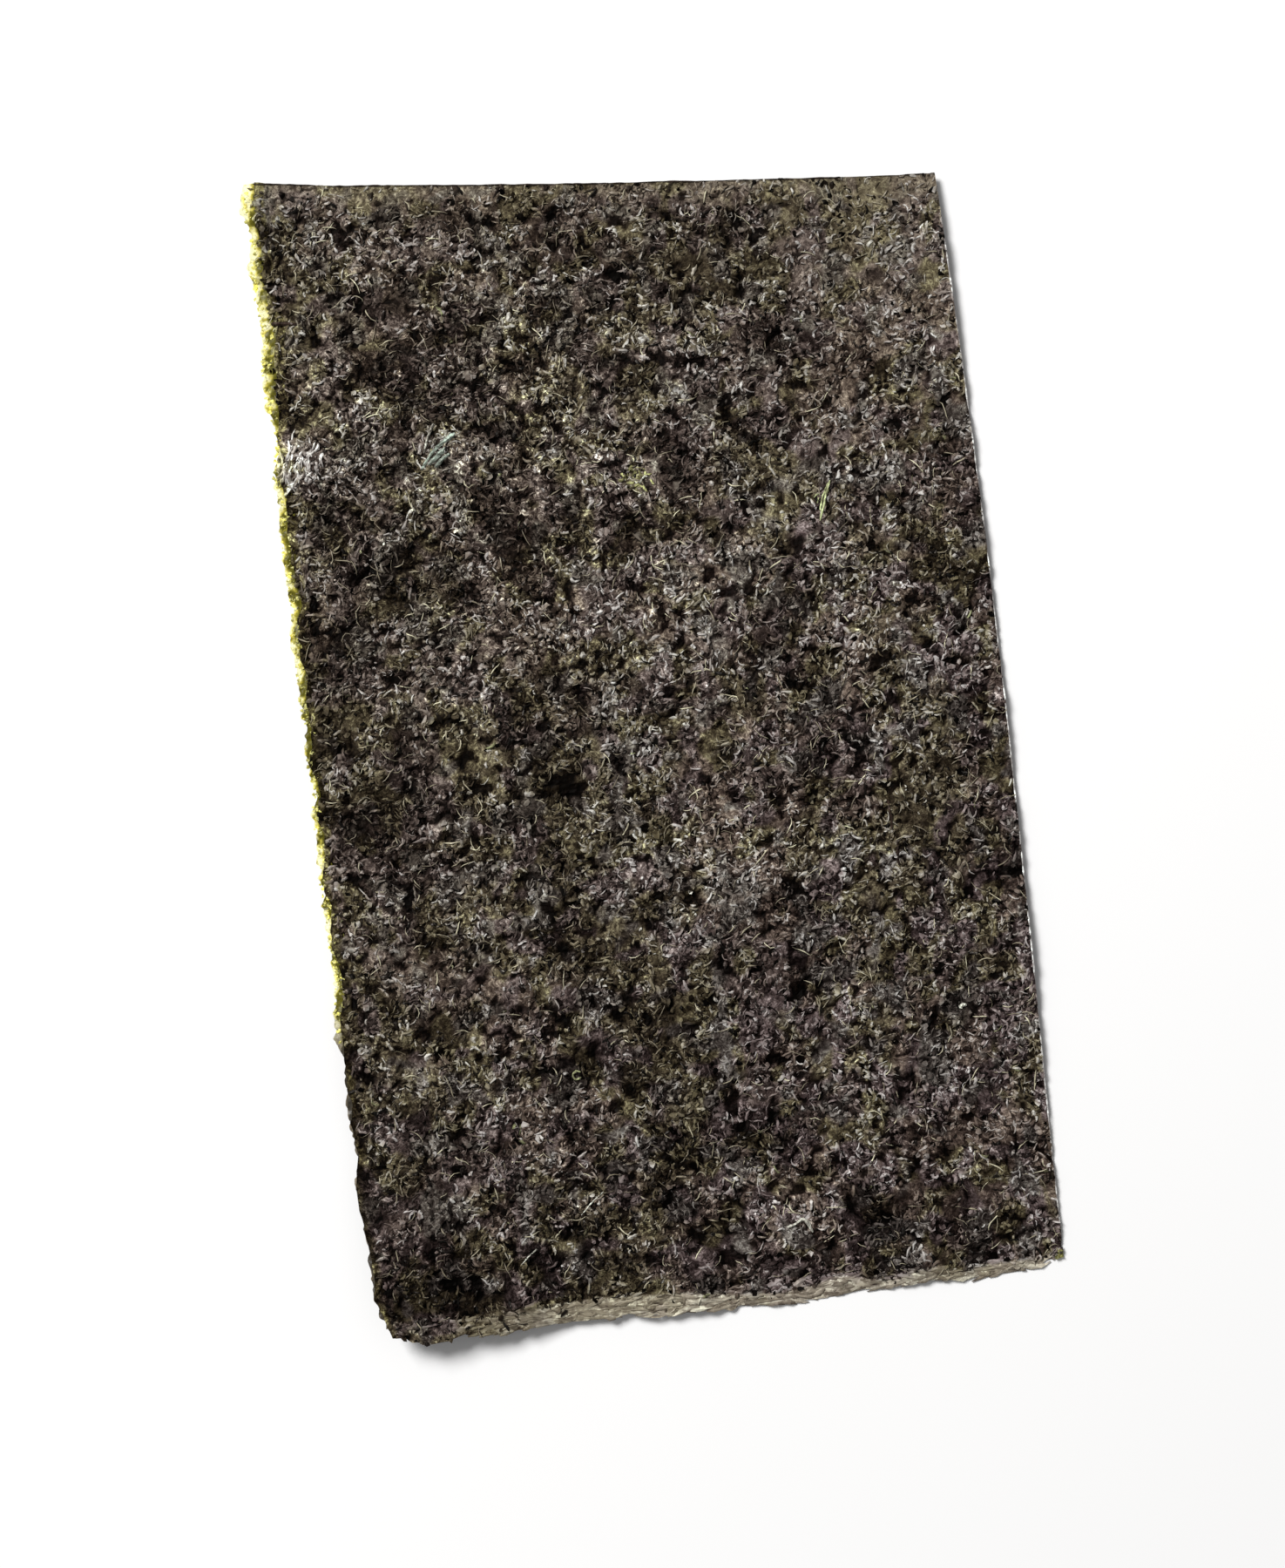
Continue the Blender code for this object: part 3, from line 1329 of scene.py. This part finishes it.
@dataclass
class Shreds(Scatter):
    """Curled shreds of one kind, each a thin closed strip that rises and dives."""

    length: tuple[float, float] = (0.4 * MM, 1.4 * MM)
    width: tuple[float, float] = (0.10 * MM, 0.36 * MM)
    rise: tuple[float, float] = (0.05 * MM, 0.24 * MM)
    sink: float = 0.05 * MM
    bend: float = 1.1
    kink: float = 0.25
    stray: float = 0.9
    twist: float = 0.9
    crest: float = 0.7
    stations: int = 6
    jitter: float = 0.012 * MM
    tip_shade: float = 0.6
    tip_taper: float = 0.65
    # Painted light and shade across each shred: the two long sides split a fixed amount of light, one
    # lit and one shaded, and the crest is lit.
    side_tone: tuple[float, float] = (0.15, 1.15)
    both_sides: float = 1.3  # the tones of the two sides together
    crest_tone: float = 0.95
    rough: tuple[float, float] = (0.6, 1.3)

    def build(self, ground: Ground) -> bpy.types.Object:
        """Lay the shreds on the sheet.

        Args:
            ground: what they lie on.

        Returns:
            The piece.
        """
        rng = np.random.default_rng(self.seed)
        cx, cy = ground.scatter(self.count, self.where, rng)
        path = self._paths(cx, cy, ground, rng)
        points = ridged_strips(path, *self._sections(rng))
        ground.trim(points, self.gap)
        # Painted shade darkens each shred towards its tips, where it dives into the sheet; across it
        # one side is painted lit, the other shaded, and the crest lit.
        along = 1 - self.tip_shade * np.linspace(-1, 1, self.stations) ** 4
        side = rng.uniform(*self.side_tone, (self.count, 1, 1))
        across = np.concatenate([side, self.both_sides - side, 0 * side + self.crest_tone], 2)
        tone = self.lightness(ground, cx, cy, rng)
        tone = tone[:, None, None] * along[None, :, None] * across
        return add_piece(
            self.name,
            points.reshape(-1, 3),
            strip_faces(self.count, self.stations),
            self.dye(ground, points, tone).reshape(-1, 3),
            self.finish,
        )

    def _paths(self, cx: Array, cy: Array, ground: Ground, rng: np.random.Generator) -> Array:
        """Draw the middle line of each shred.

        Args:
            cx: their places across the sheet.
            cy: their places along it.
            ground: what they lie on.
            rng: where the numbers come from.

        Returns:
            One row of stations for each shred.
        """
        n, k = self.count, self.stations
        start = self.where.heading(cx, cy)[:, None]
        start = start + rng.normal(0, self.stray, (n, 1))
        steady = rng.normal(0, self.bend, (n, 1)) * np.linspace(-0.5, 0.5, k - 1)
        wander = np.cumsum(rng.normal(0, self.kink, (n, k - 1)), axis=1)
        heading = start + steady + wander
        length = rng.uniform(*self.length, (n, 1)) / (k - 1)
        steps = np.stack([np.cos(heading), np.sin(heading)], -1) * length[..., None]
        flat = np.concatenate([np.zeros((n, 1, 2)), np.cumsum(steps, 1)], 1)
        flat += np.stack([cx, cy], -1)[:, None] - flat.mean(1, keepdims=True)
        ground.trim(flat, self.gap)
        along = np.linspace(-1, 1, k)
        rise = rng.uniform(*self.rise, (n, 1)) * (1 - along**2)
        tilt = rng.uniform(-0.05, 0.05, (n, 1)) * MM * along
        z = ground.heights.at(flat[..., 0], flat[..., 1]) + rise + tilt - self.sink
        z += rng.normal(0, self.jitter, (n, k))
        return np.concatenate([flat, z[..., None]], -1)

    def _sections(self, rng: np.random.Generator) -> tuple[Array, ...]:
        """Draw the sections of the shreds.

        Args:
            rng: where the numbers come from.

        Returns:
            Half widths, crest heights, turns and leans at each station.
        """
        n, k = self.count, self.stations
        along = np.linspace(-1, 1, k)
        roll = 0.6 * rng.normal(0, self.twist, (n, 1))
        roll = roll + 0.5 * rng.normal(0, self.twist, (n, 1)) * along + rng.normal(0, 0.2, (n, k))
        low, high = self.width
        wide = low + (high - low) * rng.uniform(0, 1, (n, 1)) ** 1.5
        wide = 0.5 * wide * (1 - self.tip_taper * along**4) * rng.uniform(*self.rough, (n, k))
        ridge = self.crest * rng.uniform(0.5, 1.3, (n, k)) * wide
        return wide, ridge, roll, rng.uniform(-0.5, 0.5, (n, k)) * wide


@dataclass
class Flakes(Scatter):
    """Small crumpled flakes of one kind, each a thin closed lens with a bent rim."""

    tone_power: float = 1.9
    light: float = 2.1
    radius: tuple[float, float] = (0.15 * MM, 0.45 * MM)
    patchy: tuple[float, float] = (0.15, 1.3)
    thick: float = 0.03 * MM
    crease: float = 0.10 * MM
    lift: float = 0.04 * MM
    tilt: float = 0.22
    sides: int = 6
    uneven: float = 0.18
    stretch: tuple[float, float] = (0.55, 1.0)
    rough: tuple[float, float] = (0.65, 1.2)

    def build(self, ground: Ground) -> bpy.types.Object:
        """Lay the flakes on the sheet.

        Args:
            ground: what they lie on.

        Returns:
            The piece.
        """
        rng = np.random.default_rng(self.seed)
        n, m = self.count, self.sides
        cx, cy = ground.scatter(n, self.where, rng)
        rim = self._rims(rng)
        slope = rng.normal(0, self.tilt, (n, 1, 2))
        rim_z = (rim * slope).sum(-1) + rng.normal(0, self.crease, (n, m))
        middle = np.concatenate([rim, np.zeros((n, 2, 2))], 1) + np.stack([cx, cy], -1)[:, None]
        ground.trim(middle, self.gap)
        height = ground.heights.at(middle[..., 0], middle[..., 1]) + self.lift
        hub = rng.normal(0, self.crease, (n, 1))
        offset = np.concatenate([rim_z, hub + self.thick, hub - 3 * self.thick], 1)
        points = np.concatenate([middle, (height + offset)[..., None]], -1)
        ground.trim(points, self.gap)
        tone = self.lightness(ground, cx, cy, rng)[:, None] * rng.uniform(*self.patchy, (n, m + 2))
        colour = self.dye(ground, points, tone).reshape(-1, 3)
        return add_piece(self.name, points.reshape(-1, 3), self._faces(), colour, self.finish)

    def _rims(self, rng: np.random.Generator) -> Array:
        """Draw the rim of each flake, stretched and turned at random.

        Args:
            rng: where the numbers come from.

        Returns:
            The corners of each rim about its middle, seen from above.
        """
        n, m = self.count, self.sides
        radius = rng.uniform(*self.radius, (n, 1))
        turn = rng.uniform(0, 2 * math.pi, (n, 1)) + np.arange(m) * (2 * math.pi / m)
        turn = turn + rng.normal(0, self.uneven, (n, m))
        stretch = rng.uniform(*self.stretch, (n, 1))
        lean = rng.uniform(0, math.pi, (n, 1))
        reach = radius * rng.uniform(*self.rough, (n, m))
        u, v = reach * np.cos(turn), reach * np.sin(turn) * stretch
        c, s = np.cos(lean), np.sin(lean)
        return np.stack([u * c - v * s, u * s + v * c], -1)

    def _faces(self) -> list:
        """Close every flake by an upper and a lower fan.

        Returns:
            Three vertex numbers for each face.
        """
        m = self.sides
        pattern = [(i, (i + 1) % m, m) for i in range(m)]
        pattern += [((i + 1) % m, i, m + 1) for i in range(m)]
        starts = np.arange(self.count)[:, None, None] * (m + 2)
        return (np.array(pattern)[None] + starts).reshape(-1, 3).tolist()


@dataclass
class Margin:
    """The thin margin along the left edge: a ragged film, closed all round."""

    name: str = "left_margin"
    step: float = 0.14 * MM
    across: int = 14
    inner: float = 1.6 * MM
    thick: float = 0.05 * MM
    foot: float = 0.5 * MM
    drawn_in: float = 0.02 * MM
    overhang: float = 0.3 * MM
    hidden: float = 0.12 * MM
    lowest: float = 0.05 * MM
    lobes: tuple[tuple[Grain, float], ...] = (
        (Grain(1.7 * MM, 301), 0.26 * MM),
        (Grain(0.75 * MM, 302), 0.25 * MM),
        (Grain(0.33 * MM, 303), 0.23 * MM),
    )
    patches: Swirl = Swirl(Grain(0.8 * MM, 304), 0.3 * MM, 0.6 * MM)
    flecks: Swirl = Swirl(Grain(0.34 * MM, 307), 0.15 * MM, 0.3 * MM)
    crinkle: Grain = Grain(0.45 * MM, 305)
    crinkle_depth: float = 0.11 * MM
    deep: Colour = (0.19, 0.17, 0.015)
    middle: Colour = (0.78, 0.70, 0.12)
    # Palest film colour: partly the thin laver's own colour, partly painted light shining through it.
    thin: Colour = (1.0, 0.98, 0.70)
    rim: Colour = (0.26, 0.22, 0.16)

    def build(self, ground: Ground) -> bpy.types.Object:
        """Make the film.

        Args:
            ground: what it lies on.

        Returns:
            The piece.
        """
        outline = ground.outline
        places = outline.runs[Side.LEFT][0]
        end = outline.edge(Side.TOP, outline.edge(Side.LEFT, places[-1]))
        along = np.append(np.arange(places[0] + self.foot, end, self.step), end)
        edge = outline.edge(Side.LEFT, along)
        outer = edge + self.drawn_in
        for grain, depth in self.lobes:
            outer = outer + depth * grain.at(0 * along, along)
        outer = np.maximum(outer, edge.min() - self.overhang)
        share = np.linspace(0, 1, self.across) ** 1.3
        x = outer[:, None] + (edge + self.inner - outer)[:, None] * share
        y = np.broadcast_to(along[:, None], x.shape)
        bare = (x - edge[:, None]) / FILM.width(y)
        z = ground.heights.at(x, y) - self.hidden
        z = z + self.crinkle_depth * self.crinkle.at(x, y) * (1 - smooth(bare - 0.3))
        z = np.maximum(z, self.lowest)
        faces = [np.stack([x, y, z + half], -1) for half in (0.5 * self.thick, -0.5 * self.thick)]
        points = np.concatenate([face.reshape(-1, 3) for face in faces])
        colour = np.concatenate([self._colours(x, y, bare).reshape(-1, 3)] * 2)
        return add_piece(self.name, points, self._faces(*x.shape), colour, MARGIN_FINISH)

    def _colours(self, x: Array, y: Array, bare: Array) -> Array:
        """Colour the film: palest, partly as painted glow, where thinnest; plain at its lower end.

        Args:
            x: places across the sheet.
            y: places along it.
            bare: how far over the film each place is, 1 at its inner side.

        Returns:
            A colour for each place.
        """
        mixed = 1.3 * self.patches.at(x, y) + 0.6 * self.flecks.at(x, y)
        lighter = 0.50 * smooth((y / MM - 36) / 10)
        light = smooth(0.90 + lighter + mixed - 1.4 * bare) * (1 - 0.85 * smooth(bare - 0.4))
        stops = np.array([self.deep, self.middle, self.thin])
        colour = np.stack([np.interp(light, (0, 0.5, 1), stops[:, i]) for i in range(3)], -1)
        low_end = (1 - smooth((y / MM + 27) / 6))[..., None]
        plain = np.array(self.rim) * (0.35 + 0.9 * light[..., None])
        return colour + (plain - colour) * low_end

    @staticmethod
    def _faces(rows: int, columns: int) -> list:
        """Close the film: upper grid, lower grid and the wall round them.

        Args:
            rows: stations along the edge.
            columns: stations across it.

        Returns:
            Four vertex numbers for each face.
        """
        below = rows * columns
        number = np.arange(below).reshape(rows, columns)
        a, b = number[:-1, :-1].ravel(), number[:-1, 1:].ravel()
        c, d = number[1:, 1:].ravel(), number[1:, :-1].ravel()
        faces = np.stack([a, b, c, d], 1).tolist()
        faces += (np.stack([d, c, b, a], 1) + below).tolist()
        rim = np.concatenate([number[0, :-1], number[:-1, -1], number[-1, :0:-1], number[:0:-1, 0]])
        ahead = np.roll(rim, -1)
        faces += np.stack([ahead, rim, rim + below, ahead + below], 1).tolist()
        return faces


@dataclass
class CutLine:
    """The narrow face of a knife cut, seen as a thin broken line along its edge."""

    name: str
    side: Side
    start: float
    end: float
    hue: Colour
    tone: float
    width: float = 0.15 * MM
    raised: float = 0.12 * MM
    ridge: float = 0.7
    headroom: float = 0.06 * MM
    step: float = 0.3 * MM
    breaks: Grain = Grain(2.2 * MM, 311)
    fineness: Grain = Grain(0.5 * MM, 312)

    def build(self, ground: Ground) -> bpy.types.Object:
        """Lay the line on the edge.

        Args:
            ground: what it lies on.

        Returns:
            The piece.
        """
        along = np.arange(self.start, self.end, self.step)
        across = ground.outline.edge(self.side, along) - 0.25 * self.width
        x, y = (along, across) if self.side is Side.TOP else (across, along)
        strength = smooth(0.7 + self.breaks.at(x, y))
        fine = 0.75 + 0.5 * self.fineness.at(x, y)
        z = np.minimum(ground.heights.at(x, y) + self.raised, ground.highest - self.headroom)
        path = np.stack([x, y, z], -1)[None]
        wide = (0.5 * self.width * (0.35 + 0.65 * strength) * fine)[None]
        points = ridged_strips(path, wide, self.ridge * wide, 0 * wide, 0 * wide)
        tone = self.tone * (0.15 + 0.85 * strength) * fine
        colour = np.repeat(np.array(self.hue) * tone[:, None], 3, axis=0)
        faces = strip_faces(1, len(along))
        return add_piece(self.name, points.reshape(-1, 3), faces, colour, STRAND_FINISH)


@dataclass(frozen=True)
class Strand:
    """One strand that stands out; its places and widths are in millimetres."""

    path: tuple[tuple[float, float], ...]
    width: tuple[float, float]
    tone: float
    hue: Colour
    rise: float = 0.16


@dataclass
class Strands:
    """The strands that stand out, each at its own place."""

    name: str
    strands: tuple[Strand, ...]
    seed: int
    stations: int = 14
    unsteadiness: float = 0.02 * MM
    rough: tuple[float, float] = (0.75, 1.2)
    tones: tuple[float, float] = (0.7, 1.2)
    base_shade: float = 0.5
    tip_width: float = 0.45
    ridge: float = 0.8

    def build(self, ground: Ground) -> bpy.types.Object:
        """Lay the strands on the sheet.

        Args:
            ground: what they lie on.

        Returns:
            The piece.
        """
        rng = np.random.default_rng(self.seed)
        k = self.stations
        at = np.linspace(0, 1, k)
        # Painted shade on the two base corners of each strand's section, painted highlight on its
        # crest.
        shades = np.array([[self.base_shade], [self.base_shade], [1.0]])
        paths, wides, colours = [], [], []
        for strand in self.strands:
            given = np.array(strand.path) * MM
            knots = np.linspace(0, 1, len(given))
            x, y = (np.interp(at, knots, given[:, axis]) for axis in (0, 1))
            for line in (x, y):
                line[1:-1] = 0.25 * line[:-2] + 0.5 * line[1:-1] + 0.25 * line[2:]
            x = x + rng.normal(0, self.unsteadiness, k)
            z = ground.heights.at(x, y) + strand.rise * MM * (0.4 + 0.6 * np.sin(math.pi * at))
            paths.append(np.stack([x, y, z], -1))
            half = 0.5 * MM * np.interp(at, (0, 1), strand.width)
            wides.append(half * rng.uniform(*self.rough, k))
            tone = strand.tone * rng.uniform(*self.tones, (k, 1, 1)) * shades
            colours.append(np.array(strand.hue) * tone)
        path, wide = np.array(paths), np.array(wides)
        wide[:, [0, -1]] *= self.tip_width
        lean = rng.uniform(-0.4, 0.4, wide.shape) * wide
        roll = rng.normal(0, 0.2, wide.shape)
        points = ridged_strips(path, wide, self.ridge * wide, roll, lean)
        ground.trim(points)
        colour = np.array(colours).reshape(-1, 3)
        faces = strip_faces(len(self.strands), k)
        return add_piece(self.name, points.reshape(-1, 3), faces, colour, STRAND_FINISH)


MINT: Colour = (0.92, 1.06, 0.78)
LIME: Colour = (1.10, 1.14, 0.52)
LEMON: Colour = (1.08, 1.04, 0.40)
CREAM: Colour = (1.14, 1.06, 0.80)
STRAW: Colour = (1.15, 1.00, 0.62)
UMBER: Colour = (1.25, 0.85, 0.55)

STANDOUTS = (
    Strand(
        ((-18.7, 26.37), (-18.0, 27.27), (-17.2, 28.17), (-16.2, 28.77), (-15.2, 29.37)),
        (0.22, 0.5), 0.45, MINT,
    ),
    Strand(((-18.0, 26.77), (-17.1, 27.47), (-16.1, 28.17)), (0.5, 0.4), 0.34, MINT),
    Strand(((-17.4, 26.47), (-16.6, 27.17), (-15.9, 27.57)), (0.4, 0.3), 0.24, MINT),
    Strand(((-17.1, 30.57), (-17.8, 29.27), (-18.3, 27.87)), (0.25, 0.2), 0.42, CREAM),
    Strand(
        ((18.85, 20.87), (18.3, 19.57), (18.0, 18.57), (17.5, 17.27)),
        (0.22, 0.2), 0.62, LIME, 0.3,
    ),
    Strand(
        ((18.6, 20.67), (18.0, 19.47), (17.7, 18.57), (17.6, 17.87)),
        (0.2, 0.16), 0.5, LIME, 0.3,
    ),
    Strand(((17.2, 19.47), (17.5, 19.72), (17.85, 19.87)), (0.16, 0.12), 0.4, LIME),
    Strand(((17.4, 18.87), (17.5, 19.17), (17.7, 19.47)), (0.16, 0.12), 0.4, LIME),
    Strand(((6.7, -47.58), (7.3, -47.43), (7.8, -47.23)), (0.26, 0.2), 0.75, CREAM, 0.3),
    Strand(
        ((7.8, -47.23), (8.1, -46.93), (8.55, -47.23), (8.95, -48.33)),
        (0.42, 0.3), 0.5, CREAM, 0.3,
    ),
    Strand(((-9.9, -42.23), (-10.9, -42.93), (-12.2, -44.13)), (0.14, 0.12), 0.6, CREAM),
    Strand(((-16.5, -46.63), (-17.3, -47.13), (-18.2, -47.93)), (0.14, 0.12), 0.6, CREAM),
    Strand(((1.3, 22.67), (1.55, 23.07), (1.9, 23.37)), (0.2, 0.16), 0.75, CREAM),
    Strand(((-30.9, 41.47), (-29.8, 41.37), (-28.5, 41.17)), (0.45, 0.3), 0.02, UMBER),
    Strand(((21.05, -13.03), (21.0, -14.03), (20.95, -15.33)), (0.3, 0.25), 0.02, UMBER),
    Strand(((20.6, -9.23), (20.75, -10.63), (20.7, -12.03)), (0.25, 0.22), 0.025, UMBER),
    Strand(
        ((-10.7, -30.93), (-11.1, -30.73), (-11.5, -31.13), (-11.2, -31.63), (-10.7, -31.43)),
        (0.2, 0.2), 0.30, LIME,
    ),
    Strand(((25.0, -29.23), (25.3, -28.93), (25.7, -29.03)), (0.4, 0.3), 0.55, CREAM),
)


# ---------------------------------------------------------------------- studio


@dataclass
class Studio:
    """White table, soft light from the upper left and a camera straight above."""

    turn: float = math.radians(6.84)
    aim: tuple[float, float] = (-1.17 * MM, -5.23 * MM)
    height: float = 0.30
    view_height: float = 146.05 * MM
    sensor: float = 36.0
    nearest: float = 10 * MM
    world: float = 0.26
    key_power: float = 18.0
    key_size: float = 0.45
    key_place: tuple[float, float, float] = (-0.60, 0.57, 0.87)
    table_size: float = 4.0
    table_gap: float = 0.05 * MM

    def _spot(self, across: float, up: float, height: float) -> Vector:
        """A place over the table, given to the right and up as the camera sees it."""
        c, s = math.cos(self.turn), math.sin(self.turn)
        return Vector((c, -s, 0)) * across + Vector((s, c, 0)) * up + Vector((0, 0, height))

    def build(self) -> None:
        """Add the table, the light and the camera."""
        self._table()
        self._air()
        self._softbox()
        self._camera()
        bpy.context.scene.view_settings.view_transform = "Standard"

    def _table(self) -> None:
        """Lay the table just below the sheet."""
        finish = FloorFinish()
        deselect_all()
        bpy.ops.mesh.primitive_plane_add(size=self.table_size, location=(0, 0, -self.table_gap))
        floor = bpy.context.object
        floor.name = finish.name
        floor.data.materials.append(finish.material())

    def _air(self) -> None:
        """Fill the room with a faint even light."""
        world = bpy.data.worlds.new("studio_air")
        world.use_nodes = True
        sky = world.node_tree.nodes["Background"]
        sky.inputs["Color"].default_value = WHITE
        sky.inputs["Strength"].default_value = self.world
        bpy.context.scene.world = world

    def _softbox(self) -> None:
        """Hang the softbox at the upper left, aimed at the sheet."""
        key = bpy.data.lights.new("softbox", "AREA")
        key.shape = "SQUARE"
        key.size = self.key_size
        key.energy = self.key_power
        lamp = bpy.data.objects.new("softbox", key)
        bpy.context.scene.collection.objects.link(lamp)
        lamp.location = self._spot(*self.key_place)
        lamp.rotation_euler = (-lamp.location).to_track_quat("-Z", "Y").to_euler()

    def _camera(self) -> None:
        """Hold the camera straight above, a little turned."""
        camera = bpy.data.cameras.new("camera")
        camera.sensor_width = self.sensor
        camera.lens = self.sensor * self.height / self.view_height
        camera.clip_start = self.nearest
        eye = bpy.data.objects.new("camera", camera)
        bpy.context.scene.collection.objects.link(eye)
        eye.location = self._spot(*self.aim, self.height)
        eye.rotation_euler = (0.0, 0.0, -self.turn)
        bpy.context.scene.camera = eye


# ------------------------------------------------------------------------ main


def clumps(seed: int, even: float = 0.15) -> Clumps:
    """Clumps of two sizes, with a share spread evenly between them."""
    return Clumps(Grain(9.0 * MM, seed), Grain(2.8 * MM, seed + 50), even)


def kinds() -> list[Flakes | Shreds]:
    """List every kind of flake and shred, in the order in which they are laid.

    Returns:
        The kinds.
    """
    flakes = [
        Flakes(f"flakes_{letter}", FLAKE_FINISH, 10000, clumps(seed, even), seed + 100)
        for letter, seed, even in (("a", 101, 0.5), ("b", 102, 0.4))
    ]
    shreds = [
        Shreds(f"shreds_{letter}", SHRED_FINISH, 5000, clumps(seed, even), draw)
        for letter, seed, even, draw in (
            ("a", 103, 0.5, 203),
            ("b", 104, 0.3, 204),
            ("c", 105, 0.15, 205),
            ("d", 106, 0.15, 210),
        )
    ]
    return flakes + shreds + [
        Shreds(
            "lip_shreds", SHRED_FINISH, 300, AlongLip(), 206, light=3.4, least=0.16,
            length=(1.4 * MM, 4.2 * MM), width=(0.22 * MM, 0.60 * MM), rise=(0.0, 0.07 * MM),
            stray=0.08, bend=0.12, kink=0.10, crest=0.35, twist=0.35,
        ),
        Shreds(
            "fine_shreds", SHRED_FINISH, 1500, clumps(108, 0.3), 215, hue=STRAW, light=4.8,
            least=0.12, bend=0.8, length=(0.8 * MM, 2.2 * MM), width=(0.07 * MM, 0.13 * MM),
            rise=(0.12 * MM, 0.30 * MM),
        ),
        Shreds("lime_shreds", STRAND_FINISH, 120, clumps(107), 211, hue=LIME, light=1.7),
        Shreds(
            "yellow_shreds", STRAND_FINISH, 34, AtSpot(0.4, Spot(1.0, 23.2, 1.2)), 212,
            hue=LEMON, light=1.9, least=0.3,
        ),
        # Painted highlight: these shreds' colour is pushed up, in places past white, to paint the
        # glint of a glossy patch.
        Shreds(
            "painted_glint_shreds", STRAND_FINISH, 90, AtSpot(1.3, Spot(-29.9, 28.3, 2.2)), 207,
            light=8.0, least=0.12, stray=0.45, bend=0.9, kink=0.12, twist=0.4,
            length=(0.7 * MM, 1.9 * MM), width=(0.16 * MM, 0.34 * MM),
        ),
        Shreds(
            "fan_shreds", STRAND_FINISH, 26, AtSpot(1.4, Spot(30.2, 42.6, 1.1)), 208,
            light=3.0, least=0.15, stray=0.35, bend=0.5,
        ),
        # Margin bits: their lemon colour is pushed up, in places past white, as painted light shining
        # through the margin.
        Flakes(
            "margin_bits", MARGIN_FINISH, 450, AlongLeft(), 213, gap=-0.1 * MM, hue=LEMON,
            light=8.0, least=0.35, radius=(0.08 * MM, 0.24 * MM), patchy=(0.75, 1.2),
            lift=-0.06 * MM, crease=0.04 * MM,
        ),
        Flakes(
            "corner_bits", MARGIN_FINISH, 22, AtSpot(0.0, Spot(31.7, -53.1, 0.6)), 214,
            hue=LEMON, light=2.0, least=0.4, patchy=(0.6, 1.2),
        ),
    ]


def main() -> None:
    """Build every piece in order."""
    logging.basicConfig(level=logging.INFO, format="%(name)s %(message)s")
    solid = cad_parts[NODE]
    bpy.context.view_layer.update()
    outline = Outline(solid)
    pressing = Pressing(outline)
    body = SheetBody(outline, pressing).build(solid)
    ground = Ground(outline, HeightMap(body), pressing)
    for kind in kinds():
        kind.build(ground)
    Strands("standout_strands", STANDOUTS, 209).build(ground)
    Margin().build(ground)
    CutLine("right_cut", Side.RIGHT, -50 * MM, 42 * MM, PALE, 0.70).build(ground)
    CutLine("top_cut", Side.TOP, -31 * MM, 31 * MM, UMBER, 0.012).build(ground)
    Studio().build()


if __name__ == "__main__":
    main()
